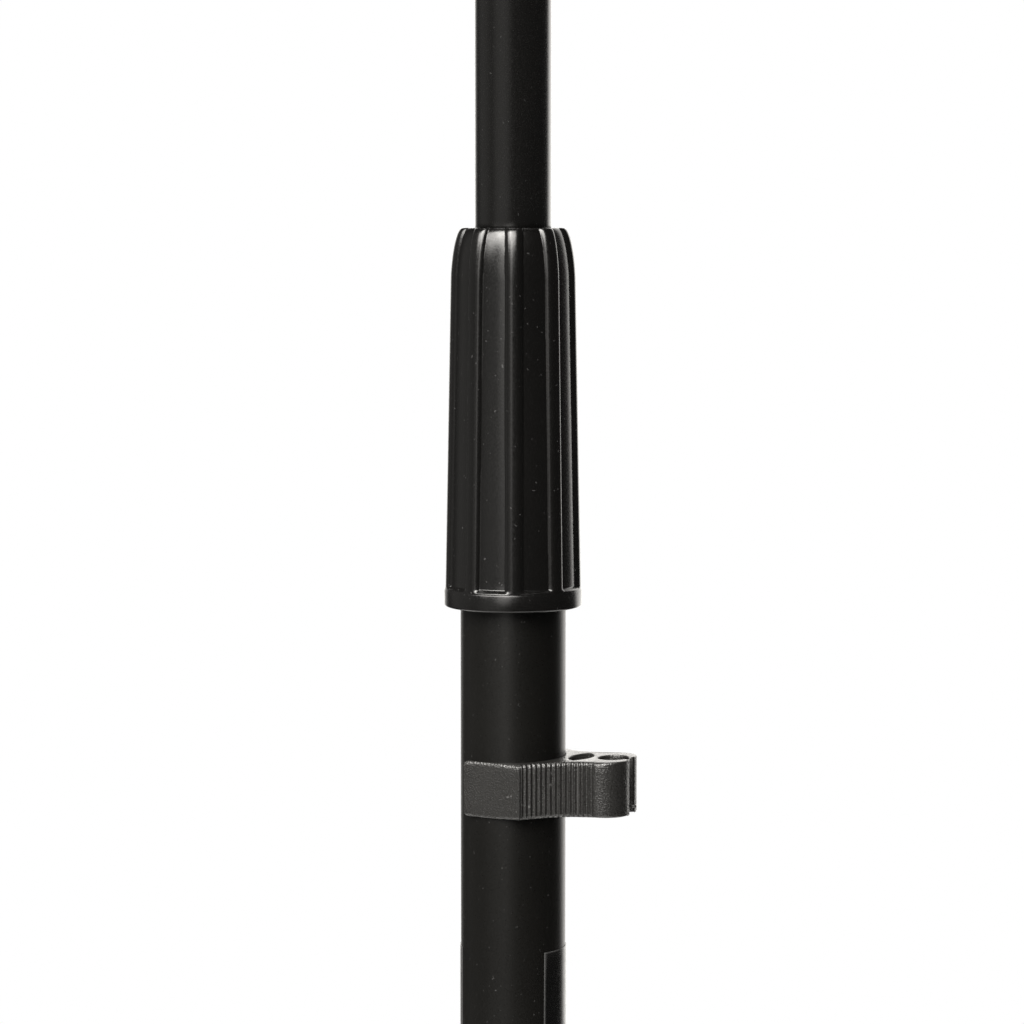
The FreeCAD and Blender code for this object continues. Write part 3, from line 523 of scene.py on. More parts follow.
def crest_radius(height):
    """The radius over the ridges: a straight taper, then a domed shoulder up to the mouth."""
    shoulder_base = GRIP_TOP - SHOULDER
    if height <= shoulder_base:
        share = (height - LEDGE) / (shoulder_base - LEDGE)
        return CREST_LOW + (CREST_TOP - CREST_LOW) * max(0.0, share)
    rise = min(1.0, (height - shoulder_base) / SHOULDER)
    return MOUTH_RAD + (CREST_TOP - MOUTH_RAD) * math.sqrt(max(0.0, 1 - rise ** DOME_POWER))


def panel_share(angle, radius):
    """0 on a ridge's crest and 1 on the panel between two ridges, with a crisp inner corner."""
    pitch = TAU / RIDGES
    off = (angle - FIRST_RIDGE + pitch / 2) % pitch - pitch / 2
    return min(1.0, (abs(off) * radius / RIDGE_HALF) ** 3)


def grip_radius(angle, height):
    crest = crest_radius(height)
    depth = PANEL_DEPTH * smoothstep(LEDGE, LEDGE + LEDGE_SLOPE, height)
    return crest - depth * panel_share(angle, crest)


def make_grip():
    """The fluted skirt and shoulder outside, and the stepped bore inside."""
    segments = RIDGES * 80
    shoulder_base = GRIP_TOP - SHOULDER
    slope_steps = 16
    straight_steps = 50
    dome_steps = 34
    panel_base = LEDGE + LEDGE_SLOPE
    heights = [LEDGE + LEDGE_SLOPE * k / slope_steps for k in range(slope_steps)]
    straight = shoulder_base - panel_base
    heights += [panel_base + straight * k / straight_steps for k in range(straight_steps + 1)]
    dome_turns = [math.pi / 2 * k / dome_steps for k in range(1, dome_steps + 1)]
    heights += [shoulder_base + SHOULDER * math.sin(turn) for turn in dome_turns]
    foot_rad = FLANGE_RAD - 2.0
    base_edge = rounded([(foot_rad, GRIP_BASE), (FLANGE_RAD, GRIP_BASE), (FLANGE_RAD, LEDGE - FLANGE_FALL),
                         (CREST_LOW, LEDGE - 0.05)], [0, FLANGE_BEVEL, 0.25, 0])
    tube_top = high("lower_tube")[2]
    step_up = tube_top + BORE_CHAMFER
    inside = [(THROAT_RAD + BORE_CHAMFER, GRIP_TOP), (THROAT_RAD, GRIP_TOP - BORE_CHAMFER),
              (THROAT_RAD, GRIP_TOP - THROAT_DEEP), (CONE_RAD, GRIP_TOP - CONE_DEEP), (CONE_RAD, step_up),
              (LOWER_RAD + SKIRT_GAP, step_up), (LOWER_RAD + SKIRT_GAP, GRIP_BASE + BORE_CHAMFER),
              (LOWER_RAD + 2 * SKIRT_GAP, GRIP_BASE)]
    bm = bmesh.new()
    angles = [TAU * k / segments for k in range(segments)]

    def ring(radius_at, height):
        radii = [radius_at(a) for a in angles]
        return [bm.verts.new((r * math.cos(a), r * math.sin(a), height)) for r, a in zip(radii, angles)]

    rings = [ring(lambda a: radius, height) for radius, height in base_edge]
    rings += [ring(lambda a: grip_radius(a, height), height) for height in heights]
    rings += [ring(lambda a: radius, height) for radius, height in inside]
    skin(bm, rings, closed=True)
    new_piece("clutch_grip_skin", bm, "grip", ["clutch_grip"])


# ---------------------------------------------------------------- cable clip
CLIP_TURN = -21.0        # degrees, from +X towards the player
CLIP_BORE = LOWER_RAD + 0.1
JAW_DEG = 123.0
LIP = CLIP_BORE + 1.6
SHOULDER_DEG = 64.0
CLIP_SHOULDER = CLIP_BORE + 3.4
WAIST = (CLIP_BORE + 1.2, 8.7)
NOSE = (CLIP_BORE + 9.2, 7.5)
NOSE_MIDDLE = (CLIP_BORE + 13.6, 6.2)
TIP = (CLIP_BORE + 15.4, 2.6)
CABLE_BORE = 3.25
CABLE_OUT = CLIP_BORE + 11.2
MOUTH_HALF = 1.3
MOUTH_CORNER = 1.1
WINDOW = (CLIP_BORE + 1.6, CLIP_BORE + 6.65, 5.0)      # near end, far end, half width
WINDOW_EDGE = 0.3
RIB_PITCH = 1.03
RIB_DEPTH = 0.30
RIB_FIRST = 0.5
RIB_COUNT = 15
RIB_POWER = 0.7          # under 1 makes the grooves broad and the ribs narrow
FIRST_GROOVE = 1.4       # the groove at the shoulder, as a share of RIB_DEPTH
CLIP_EDGE = 1.0
TIP_EDGE = 0.3
JAW_EDGE = 0.15
THIN_SHARE = 0.25        # how much of the wall over the tube an edge may take
CLIP_RISE = 0.8          # the nose stands this much higher than the jaw


def rib(along):
    """How deep the surface lies between two ribs, at a distance along the waist from the shoulder."""
    turns = (along - RIB_FIRST) / RIB_PITCH
    if along < RIB_FIRST:
        return RIB_DEPTH * FIRST_GROOVE * math.sin(math.pi * along / RIB_FIRST)
    if turns > RIB_COUNT:
        return 0.0
    return RIB_DEPTH * (0.5 - 0.5 * math.cos(TAU * turns)) ** RIB_POWER


def clip_side():
    """One side's outline from the jaw's lip to the cable mouth, with the depth of its ribs."""
    lip = polar(LIP, JAW_DEG)
    shoulder = polar(CLIP_SHOULDER, SHOULDER_DEG)
    facet_steps = 14
    points = [lip.lerp(shoulder, k / facet_steps) for k in range(facet_steps)]
    depths = [0.0] * facet_steps
    waist = arc(shoulder, WAIST, NOSE, 200)
    travelled = 0.0
    for index, point in enumerate(waist):
        if index:
            travelled += (point - waist[index - 1]).length
        points.append(point)
        depths.append(rib(travelled))
    nose = arc(NOSE, NOSE_MIDDLE, TIP, 20)[1:]
    mouth = Vector((TIP[0], MOUTH_HALF))
    end = [Vector(TIP).lerp(mouth, k / 4) for k in range(1, 4)]
    corner = rounded([TIP, mouth, (CABLE_OUT, MOUTH_HALF)], [0, MOUTH_CORNER, 0], 6)[1:-1]
    points += nose + end + corner
    depths += [0.0] * (len(nose) + len(end) + len(corner))
    return points, depths


def make_cable_clip():
    """A C jaw on the tube, a ribbed waist with a window, and a round jaw for a cable."""
    bottom, top = low("cable_clip")[2], high("cable_clip")[2]
    side, side_depths = clip_side()
    opening = CABLE_OUT + math.sqrt(CABLE_BORE ** 2 - MOUTH_HALF ** 2)
    seat = arc((opening, MOUTH_HALF), (CABLE_OUT - CABLE_BORE, 0), (opening, -MOUTH_HALF), 40)
    jaw_end = polar(CLIP_BORE, JAW_DEG)
    jaw = arc((jaw_end.x, -jaw_end.y), (CLIP_BORE, 0), jaw_end, 90)
    mirrored = [Vector((p.x, -p.y)) for p in reversed(side)]
    points = side + seat + mirrored + jaw
    depths = side_depths + [0.0] * len(seat) + side_depths[::-1] + [0.0] * len(jaw)
    side_edges = [TIP_EDGE + (CLIP_EDGE - TIP_EDGE) * smoothstep(TIP[0], NOSE[0], p.x) for p in side]
    edges = side_edges + [TIP_EDGE] * len(seat) + side_edges[::-1] + [JAW_EDGE] * len(jaw)
    order = range(len(points) - 1, -1, -1)      # the outline above runs clockwise
    points, depths, edges = ([row[k] for k in order] for row in (points, depths, edges))
    insets = [min(edge, JAW_EDGE + THIN_SHARE * (p.length - CLIP_BORE)) for p, edge in zip(points, edges)]
    normals = outward(points)
    bm = bmesh.new()
    rings = []
    steps = 6
    levels = [math.pi / 2 * k / steps for k in range(steps + 1)]
    middle_steps = 6
    for half in (-1, 1):
        angles = levels if half < 0 else reversed(levels)
        for a in angles:
            ring = []
            for point, normal, depth, edge, inset in zip(points, normals, depths, edges, insets):
                pulled_in = inset * (1 - math.sin(a)) + depth * math.sin(a) ** 0.5
                height = edge * (1 - math.cos(a))
                z = bottom + height if half < 0 else top - height
                ring.append(bm.verts.new((*(point - normal * pulled_in), z)))
            rings.append(ring)
        if half < 0:
            lowest, highest = bottom + CLIP_EDGE, top - CLIP_EDGE
            for k in range(1, middle_steps):
                z = lowest + (highest - lowest) * k / middle_steps
                rings.append([bm.verts.new((*(p - n * d), z)) for p, n, d in zip(points, normals, depths)])
    skin(bm, rings)
    near, far, half_window = WINDOW
    middle = (near + far) / 2
    lens = arc((middle, -half_window), (far, 0), (middle, half_window), 24)
    lens += arc((middle, half_window), (near, 0), (middle, -half_window), 24)[1:-1]
    window = wall(bm, lens, rim(bottom, top, WINDOW_EDGE), Matrix(), inward=-1.0)
    cap(bm, [rings[0], window[0]])
    cap(bm, [rings[-1], window[-1]])
    nub = shift(TIP[0] - 0.1, TIP[1] - 0.9, bottom + 1.3) @ TO_X
    lathe([(0, -0.3), (0.45, -0.3), (0.4, 0.25), (0.2, 0.45), (0, 0.5)], 20, nub, bm)
    turn = Matrix.Rotation(math.radians(CLIP_TURN), 4, "Z")
    for corner in bm.verts:
        corner.co.z += CLIP_RISE * smoothstep(0.0, TIP[0], corner.co.x)
        corner.co = turn @ corner.co
    new_piece("cable_clip_moulding", bm, "clip", ["cable_clip"], sharp=50.0)


# ---------------------------------------------------------------- label
LABEL_START = -54.0
LABEL_SWEEP = 250.0
LABEL_SLANT = 1.6        # the front edge moves this many degrees from top to bottom
LABEL_GLUE = 0.02
LABEL_THICK = 0.15
LABEL_RAD = LOWER_RAD + LABEL_GLUE + LABEL_THICK
LABEL_LIFT = 0.03        # the outer face's front edge stands up a little
LIFT_COLUMNS = 2


def make_label():
    """A blank film wrapped round the lower tube, open at the front, with a slightly slanted edge."""
    bottom, top = low("label_wrap")[2], high("label_wrap")[2]
    columns = 120
    shares = [0, 0.005] + [k / 10 for k in range(1, 10)] + [0.995, 1]
    rows = len(shares) - 1
    bm = bmesh.new()

    def sheet(radius):
        grid = []
        for share in shares:
            start = LABEL_START - LABEL_SLANT * (1 - share)
            sweep = LABEL_SWEEP + LABEL_SLANT * (1 - share)
            line = []
            for column in range(columns + 1):
                lift = LABEL_LIFT * max(0.0, 1 - column / LIFT_COLUMNS) * (radius == LABEL_RAD)
                spot = polar(radius + lift, start + sweep * column / columns)
                line.append(bm.verts.new((*spot, bottom + (top - bottom) * share)))
            grid.append(line)
        return grid

    outer = sheet(LABEL_RAD)
    inner = sheet(LOWER_RAD + LABEL_GLUE)
    for grid in (outer, inner):
        for row in range(rows):
            for column in range(columns):
                bm.faces.new((grid[row][column], grid[row][column + 1],
                              grid[row + 1][column + 1], grid[row + 1][column]))
    border = [(0, c) for c in range(columns)] + [(r, columns) for r in range(rows)]
    border += [(rows, c) for c in range(columns, 0, -1)] + [(r, 0) for r in range(rows, 0, -1)]
    for index, (row, column) in enumerate(border):
        next_row, next_column = border[(index + 1) % len(border)]
        bm.faces.new((outer[row][column], outer[next_row][next_column],
                      inner[next_row][next_column], inner[row][column]))
    new_piece("label_film_wrap", bm, "base", ["label_wrap"])


# ---------------------------------------------------------------- base
HUB_BASE, HUB_TOP = 14.0, 80.0
HUB_RAD = LOWER_RAD + 5.9
TUBE_SEAT = 24.0
BOLT_RAD = 4.0
EAR_RAD = 9.0
SLOT_HALF = 6.3
FORK_HALF = 11.3
PIVOT = joint_place("leg_1_fold")
PIVOT_OUT = math.hypot(PIVOT.x, PIVOT.y)
PIVOT_HIGH = PIVOT.z
LEG_RAD = 8.0
LEG_WALL = 1.5
LEG_START = 20.0
LEG_END = 288.0
FOOT_RAD = 11.5
FOOT_END = 294.0
FOOT_LEN = 32.0
FOOT_FLAT = 18.0
GROOVES = 3
GROOVE_FIRST = 5.0
GROOVE_PITCH = 4.0
GROOVE_DEEP = 0.7
LEG_SLOPE = math.asin((PIVOT_HIGH - FOOT_RAD) / (FOOT_END - FOOT_FLAT))
KNUCKLE_HALF = 6.2
KNUCKLE_THICK = 12.0
PIN_RAD = 3.0
PIN_HEAD = 5.0
PIN_HEAD_HIGH = 1.6
STOP_TOP = PIVOT_HIGH - EAR_RAD * math.tan(LEG_SLOPE) - KNUCKLE_HALF / math.cos(LEG_SLOPE) - 0.3
FORK_FLOOR = STOP_TOP - 5.0
LEGS = (1, 2, 3)


def leg_azimuth(number):
    spot = joint_place("leg_%d_fold" % number)
    return math.atan2(spot.y, spot.x)


def leg_place(number, slope=LEG_SLOPE):
    """From a leg's own frame, with its pivot at the origin and the leg along X, to the stand's."""
    spin = Matrix.Rotation(leg_azimuth(number), 4, "Z")
    return spin @ shift(PIVOT_OUT, 0, PIVOT_HIGH) @ Matrix.Rotation(slope, 4, "Y")


def make_hub():
    """The die-cast hub: a boss round the tube and three forks for the legs."""
    bore = LOWER_RAD + FIT
    bolt_hole = BOLT_RAD + FIT
    boss = rounded([(bolt_hole, HUB_BASE), (HUB_RAD, HUB_BASE), (HUB_RAD, HUB_TOP), (bore, HUB_TOP),
                    (bore, TUBE_SEAT), (bolt_hole, TUBE_SEAT)], [0.4, 2.0, 3.0, 0.5, 0, 0], 8)
    bm = lathe(boss, 120)
    inner = HUB_RAD - 3.0
    front = PIVOT_OUT + EAR_RAD
    slot_in = PIVOT_OUT - EAR_RAD - 0.6
    top = PIVOT_HIGH + EAR_RAD
    slant = EAR_RAD * math.sqrt(0.5)
    nose = arc((front, PIVOT_HIGH), (PIVOT_OUT + slant, PIVOT_HIGH + slant), (PIVOT_OUT, top), 16)
    ear = [(inner, FORK_FLOOR - 8), (front - 4, FORK_FLOOR), (front, FORK_FLOOR)] + nose
    ear.append((inner, top + 8))
    web = [(inner, FORK_FLOOR - 6), (slot_in, FORK_FLOOR), (slot_in, top), (inner, top + 6)]
    stop = rectangle(front - 5, front, FORK_FLOOR, STOP_TOP)
    hole = circle(PIVOT_OUT, PIVOT_HIGH, PIN_RAD + FIT, 40)
    for number in LEGS:
        place = Matrix.Rotation(leg_azimuth(number), 4, "Z") @ FRONT_PLAN
        for near, far in ((SLOT_HALF, FORK_HALF), (-FORK_HALF, -SLOT_HALF)):
            prism(ear, near, far, 0.8, [hole], 0.3, place, bm)
        for block in (web, stop):
            prism(block, -FORK_HALF + 0.5, FORK_HALF - 0.5, 0.5, place=place, bm=bm)
    new_piece("base_hub_casting", cast(bm, 0.6, 4), "base", ["base_hub"], sharp=60.0)


def make_base_fastening():
    """The hexagon bolt and washer under the hub."""
    washer_rad, washer_thick = 8.5, 1.6
    under = HUB_BASE - washer_thick
    ring = rounded(rectangle(BOLT_RAD + FIT, washer_rad, under, HUB_BASE), [0.2, 0.5, 0.2, 0.2])
    new_piece("base_washer_ring", lathe(ring), "base", ["base_washer"])
    head_rad, head_high = 6.5, 5.0
    corners = [polar(head_rad, 60 * k) for k in range(6)]
    bm = prism(rounded(corners, [0.4] * 6, 3), under - head_high, under, 0.7)
    length = high("base_bolt")[2] - under
    shank = [(0, under - 0.5), (BOLT_RAD, under - 0.5)]
    pitch, thread_deep = 1.25, 0.5
    threads = int(length / pitch)
    for k in range(threads):
        height = under + (length - 1.5) * k / threads
        shank += [(BOLT_RAD, height), (BOLT_RAD - thread_deep, height + 0.6)]
    shank += [(BOLT_RAD, under + length - 1.2), (BOLT_RAD - 0.8, under + length), (0, under + length)]
    lathe(shank, 48, bm=bm)
    new_piece("base_bolt_hex", bm, "base", ["base_bolt"])


def make_leg(number):
    """A cast knuckle, a steel tube, a rubber foot with grooves, cut flat on the floor, and a pin."""
    body = "leg_%d" % number
    place = leg_place(number)
    along = place @ TO_X
    eye = arc((0, KNUCKLE_HALF), (-KNUCKLE_HALF, 0), (0, -KNUCKLE_HALF), 24)
    web_end = LEG_START - 3
    outline = [(web_end, -KNUCKLE_HALF), (web_end, KNUCKLE_HALF)] + eye
    bm = prism(outline, -KNUCKLE_THICK / 2, KNUCKLE_THICK / 2, 0.8,
               [circle(0, 0, PIN_RAD + FIT)], 0.3, place @ FRONT_PLAN)
    collar = rounded(rectangle(0, LEG_RAD, LEG_START - 6, LEG_START), [0, 1.2, 0.3, 0])
    lathe(collar, 72, along, bm)
    spigot_rad = LEG_RAD - LEG_WALL - FIT
    spigot = rounded(rectangle(0, spigot_rad, LEG_START - 1, LEG_START + 25), [0, 0, 1.0, 0])
    lathe(spigot, 48, along, bm)
    node = "leg_knuckle_%d" % number
    new_piece(node + "_casting", bm, body, [node])
    bore = LEG_RAD - LEG_WALL
    node = "leg_tube_%d" % number
    pipe = rounded(rectangle(bore, LEG_RAD, LEG_START + FIT, LEG_END), [0.2] * 4)
    new_piece(node + "_skin", lathe(pipe, 96, along), body, [node])
    mouth = FOOT_END - FOOT_LEN
    bore = LEG_RAD + FIT
    grooves = []
    for count in range(GROOVES):
        start = mouth + GROOVE_FIRST + GROOVE_PITCH * count
        grooves += [(FOOT_RAD, start), (FOOT_RAD - GROOVE_DEEP, start + 0.5),
                    (FOOT_RAD - GROOVE_DEEP, start + 1.5), (FOOT_RAD, start + 2.0)]
    cap_outline = rounded([(bore, mouth), (FOOT_RAD, mouth)] + grooves +
                          [(FOOT_RAD, FOOT_END), (0, FOOT_END), (0, LEG_END + 0.1), (bore, LEG_END + 0.1)],
                          [0.3, 1.0] + [0.25] * len(grooves) + [2.5, 0, 0, 0], 6)
    bm = lathe(cap_outline, 120, along)
    for corner in bm.verts:
        corner.co.z = max(corner.co.z, 0.0)
    node = "foot_%d" % number
    new_piece(node + "_rubber", bm, body, [node])
    half = FORK_HALF + FIT
    pin = double_headed(PIN_HEAD, PIN_RAD, -half, half, PIN_HEAD_HIGH, 1.3)
    node = "leg_pin_%d" % number
    new_piece(node + "_riveted", lathe(pin, 64, leg_place(number, 0.0) @ TO_Y), "base", [node])


# ---------------------------------------------------------------- head
TILT = joint_place("desk_tilt")
SOCKET_BASE = low("tilt_socket")[2]
SOCKET_RAD = half_width("tilt_socket")
SOCKET_TOP = high("upper_tube")[2] + 5.0
TONGUE_HALF = 5.0
TONGUE_RAD = 11.5
BOLT_HOLE = 3.05
SCREW_HIGH = high("upper_tube")[2] - 17.0
BOSS_OUT = 15.0
BOSS_RAD = 7.0
SCREW_RAD = 2.5
EAR_IN, EAR_OUT = 6.1, 9.1
DESK_LEAN = -20          # degrees, leaning back at rest
DESK = shift(TILT.x, TILT.y, TILT.z) @ Matrix.Rotation(math.radians(DESK_LEAN), 4, "X")


def make_socket():
    """The casting on top of the column: a sleeve, a screw boss and the tongue of the tilt joint."""
    bore = UPPER_RAD + FIT
    roof = high("upper_tube")[2] + FIT
    sleeve = rounded([(bore, SOCKET_BASE), (SOCKET_RAD, SOCKET_BASE), (SOCKET_RAD, SOCKET_TOP),
                      (0, SOCKET_TOP), (0, roof), (bore, roof)], [0.4, 1.2, 2.0, 0, 0, 0], 6)
    bm = lathe(sleeve, 96)
    foot = SOCKET_TOP - 2.5
    over = arc((TONGUE_RAD, TILT.z), (0, TILT.z + TONGUE_RAD), (-TONGUE_RAD, TILT.z), 32)
    prism([(-TONGUE_RAD + 0.5, foot), (TONGUE_RAD - 0.5, foot)] + over, -TONGUE_HALF, TONGUE_HALF, 0.6,
          [circle(0, TILT.z, BOLT_HOLE)], 0.3, SIDE_PLAN, bm)
    boss = rounded(rectangle(SCREW_RAD, BOSS_RAD, UPPER_RAD + 1.0, BOSS_OUT), [0, 0, 1.0, 0.3], 6)
    lathe(boss, 64, shift(z=SCREW_HIGH) @ TO_Y, bm)
    for side in (-1, 1):
        gusset = [(side * (TONGUE_HALF - 1), SOCKET_TOP - 1), (side * (SOCKET_RAD - 2.5), SOCKET_TOP - 1),
                  (side * (TONGUE_HALF - 1), SOCKET_TOP + 6)]
        prism(gusset, -1.5, 1.5, 0.3, place=FRONT_PLAN, bm=bm)
    new_piece("tilt_socket_casting", cast(bm, 0.4, 3), "head", ["tilt_socket"], sharp=60.0)


def knob(radius, length, lobes, lobe_rad, bore, depth, place):
    """A lobed knob along Z with a domed end, a dished centre and a blind bore for its stud."""
    segments = lobes * 40
    reach = radius - lobe_rad
    hollow = reach - 0.35 * lobe_rad

    def lobed(angle):
        pitch = TAU / lobes
        off = (angle + pitch / 2) % pitch - pitch / 2
        inside = lobe_rad ** 2 - (reach * math.sin(off)) ** 2
        if inside > 0 and abs(off) < math.asin(min(1.0, lobe_rad / reach)):
            return max(hollow, reach * math.cos(off) + math.sqrt(inside))
        return hollow

    soft = [lobed(TAU * k / segments) for k in range(segments)]
    for _ in range(3):
        soft = [(soft[k - 1] + 2 * soft[k] + soft[(k + 1) % segments]) / 4 for k in range(segments)]
    bm = bmesh.new()
    rings = []

    def ring(share, height, turned=0.0):
        """A ring between the lobed outline and, as turned goes to 1, a plain circle."""
        corners = []
        for k in range(segments):
            reached = share * (soft[k] * (1 - turned) + reach * turned)
            corners.append(bm.verts.new(place @ Vector((*polar(reached, 360 * k / segments), height))))
        rings.append(corners)

    edge = min(2.0, length * 0.12)         # the domed end's; the other end's is half as large
    for step in range(5):
        a = math.pi / 2 * step / 4
        ring(1 - 0.5 * edge * (1 - math.sin(a)) / radius, 0.5 * edge * (1 - math.cos(a)))
    for step in range(9):
        a = math.pi / 2 * (1 - step / 8)
        ring(1 - edge * (1 - math.sin(a)) / radius, length - edge * (1 - math.cos(a)))
    dish = 0.62 * reach / radius
    floor = length - 0.8
    ring(0.80, length - 0.05, 0.6)
    for share, height in ((dish + 0.04, length), (dish, length - 0.3), (dish - 0.03, length - 1.0),
                          (dish * 0.6, length - 1.0), (dish * 0.25, floor)):
        ring(share, height, 1.0)
    skin(bm, rings)
    top = bm.verts.new(place @ Vector((0, 0, floor)))
    skin(bm, [rings[-1], [top]])
    hole = [[bm.verts.new(place @ Vector((*polar(bore, 360 * k / segments), height)))
             for k in range(segments)] for height in (0.0, depth)]
    skin(bm, [rings[0]] + hole + [[bm.verts.new(place @ Vector((0, 0, depth)))]])
    return bm


def threaded(radius, start, end, pitch):
    """The outline of a stud with a thread, drawn as rings."""
    core = radius - 0.4
    outline = [(0, start), (core, start)]
    turns = int((end - start - 1) / pitch)
    for k in range(turns):
        height = start + 0.5 + pitch * k
        outline += [(radius, height), (radius - 0.35, height + pitch / 2)]
    return outline + [(core, end), (0, end)]


def make_head_screw():
    """The thumb screw that clamps the socket on the upper tube."""
    stud_low, stud_high = low("head_screw_stud")[1], high("head_screw_stud")[1]
    place = shift(z=SCREW_HIGH) @ TO_Y
    bm = lathe(threaded(SCREW_RAD, stud_low, stud_high, 0.8), 48, place)
    new_piece("head_screw_thread", bm, "head_screw", ["head_screw_stud"])
    start = low("head_screw_knob")[1]
    length = high("head_screw_knob")[1] - start
    bm = knob(10.0, length, 5, 3.0, SCREW_RAD + FIT, length / 2 + FIT, place @ shift(z=start))
    new_piece("head_screw_grip", bm, "head_screw", ["head_screw_knob"])


def make_tilt_hardware():
    """The tilt bolt, its friction washers and its knob, across the back of the desk."""
    along = DESK @ TO_X
    end = EAR_OUT + FIT
    knob_in = EAR_OUT + 0.3
    knob_long = 20.0
    shank_end = knob_in + knob_long / 2
    shank_rad, head_rad, key_rad = 3, 6, 2.2
    face = -end - 4
    head = rounded([(0, face), (head_rad, face), (head_rad, -end), (shank_rad, -end)], [0, 1.6, 0.2, 0], 6)
    socket = [(key_rad, face), (key_rad, -end - 2.2), (0, -end - 2.0)]
    shank = [(shank_rad, knob_in), (shank_rad, shank_end - 0.5), (shank_rad - 0.5, shank_end),
             (0, shank_end)]
    bm = lathe(socket[::-1] + head[1:] + shank, 64, along)
    new_piece("tilt_bolt_turned", bm, "desk", ["tilt_bolt"])
    bm = bmesh.new()
    washer_rad, washer_thick = 9, 1
    for start in (-TONGUE_HALF - (washer_thick + FIT), TONGUE_HALF + FIT):
        ring = rectangle(BOLT_HOLE, washer_rad, start, start + washer_thick)
        lathe(rounded(ring, [0.1, 0.25, 0.25, 0.1]), 72, along, bm)
    new_piece("friction_washer_pair", bm, "desk", ["friction_washers"])
    bm = knob(16.0, knob_long, 6, 4.0, BOLT_HOLE, knob_long / 2 + FIT, along @ shift(z=knob_in))
    new_piece("tilt_knob_grip", bm, "tilt_knob", ["tilt_knob"])


# ---------------------------------------------------------------- desk
DESK_OUT = 28.0
DESK_THICK = 1.5
DESK_WIDE = half_width("desk_plate")
DESK_BELOW = 130.0
DESK_ABOVE = 200.0
DESK_CORNER = 20.0
DESK_LOW_CORNER = 17.0
SHELF_DEEP = 55.0
SHELF_LIP = 12.0
SHELF_THICK = 1.5
SHELF_TAB = 26.6
SHELF_HALF = DESK_WIDE - 20.0
SHELF_RIVET_UP = 18.6 - DESK_BELOW
YOKE_THICK = 3.0
YOKE_RIVETS = [(x, z) for x in (-20.0, 20.0) for z in (-16.0, 16.0)]
SHELF_RIVETS = [((SHELF_HALF - 25.0) * (2 * k / 3 - 1), SHELF_RIVET_UP) for k in range(4)]


def make_yoke():
    """The fork behind the desk that straddles the tongue: a plate with two arms."""
    place = DESK @ FRONT_PLAN
    half_wide, half_high, eye = 30.0, 25.0, 12.0
    plate = rounded(rectangle(-half_wide, half_wide, -half_high, half_high), [5.0] * 4, 8)
    holes = [circle(x, z, 2.05, 24) for x, z in YOKE_RIVETS]
    bm = prism(plate, DESK_OUT - FIT - YOKE_THICK, DESK_OUT - FIT, 0.5, holes, 0.2, place)
    round_end = arc((0, -eye), (eye, 0), (0, eye), 32)
    arm = [(-DESK_OUT + YOKE_THICK / 2, -eye - 4), (-DESK_OUT + YOKE_THICK + 4, -eye)] + round_end
    arm += [(-DESK_OUT + YOKE_THICK + 4, eye), (-DESK_OUT + YOKE_THICK / 2, eye + 4)]
    for start in (-EAR_OUT, EAR_IN):
        prism(arm, start, start + YOKE_THICK, 0.5, [circle(0, 0, BOLT_HOLE)], 0.2, DESK @ SIDE_PLAN, bm)
    new_piece("tilt_yoke_bracket", cast(bm, 0.5, 2), "desk", ["tilt_yoke"], sharp=60.0)


def make_desk_plate():
    """The sheet-metal desk with rounded corners and a stiffening bead pressed round it."""
    place = DESK @ FRONT_PLAN
    outline = rounded(rectangle(-DESK_WIDE, DESK_WIDE, -DESK_BELOW, DESK_ABOVE),
                      [DESK_LOW_CORNER] * 2 + [DESK_CORNER] * 2, 16)
    back, front = DESK_OUT, DESK_OUT + DESK_THICK
    bead_in, bead_out, bead_deep = 9.0, 14.0, 0.7
    steps = 8
    bead = []
    for k in range(steps + 1):
        inset = bead_in + (bead_out - bead_in) * k / steps
        bead.append((inset, bead_deep * (0.5 - 0.5 * math.cos(TAU * k / steps))))
    levels = [(bead_out, back)] + rim(back, front, 0.35) + [(inset, front - deep) for inset, deep in bead]
    bm = bmesh.new()
    rings = wall(bm, outline, levels, place)
    cap(bm, [rings[0]])
    cap(bm, [rings[-1]])
    new_piece("desk_plate_sheet", bm, "desk", ["desk_plate"], sharp=30.0)


def make_shelf():
    """A bent strip: a tab behind the desk, the shelf under it, and a lip along the front."""
    tab = -DESK_OUT + FIT
    back = tab + SHELF_THICK
    floor = -DESK_BELOW - FIT
    under = floor - SHELF_THICK
    front = -DESK_OUT - DESK_THICK - SHELF_DEEP
    top = SHELF_TAB - DESK_BELOW
    lip = SHELF_LIP - DESK_BELOW
    bend = 2.2
    inner_bend = bend - SHELF_THICK
    section = rounded([(back, under), (back, top), (tab, top), (tab, floor), (front, floor), (front, lip),
                       (front - SHELF_THICK, lip), (front - SHELF_THICK, under)],
                      [bend, 0.5, 0.5, inner_bend, inner_bend, 0.6, 0.6, bend], 6)
    bm = prism(section, -SHELF_HALF, SHELF_HALF, 0.4, place=DESK @ SIDE_PLAN)
    new_piece("music_shelf_strip", bm, "desk", ["music_shelf"], sharp=50.0)


def make_rivets(name, node, spots, thickness):
    """Domed rivets through the desk and the sheet behind it."""
    front = DESK_OUT + DESK_THICK + FIT
    back = DESK_OUT - 2 * FIT - thickness
    head, shank, dome = 3.8, 2.0, 1.4
    outline = double_headed(head, shank, back, front, dome, 1.2)
    bm = bmesh.new()
    for x, z in spots:
        lathe(outline, 48, DESK @ FRONT_PLAN @ shift(x, z), bm)
    new_piece(name, bm, "desk", [node])


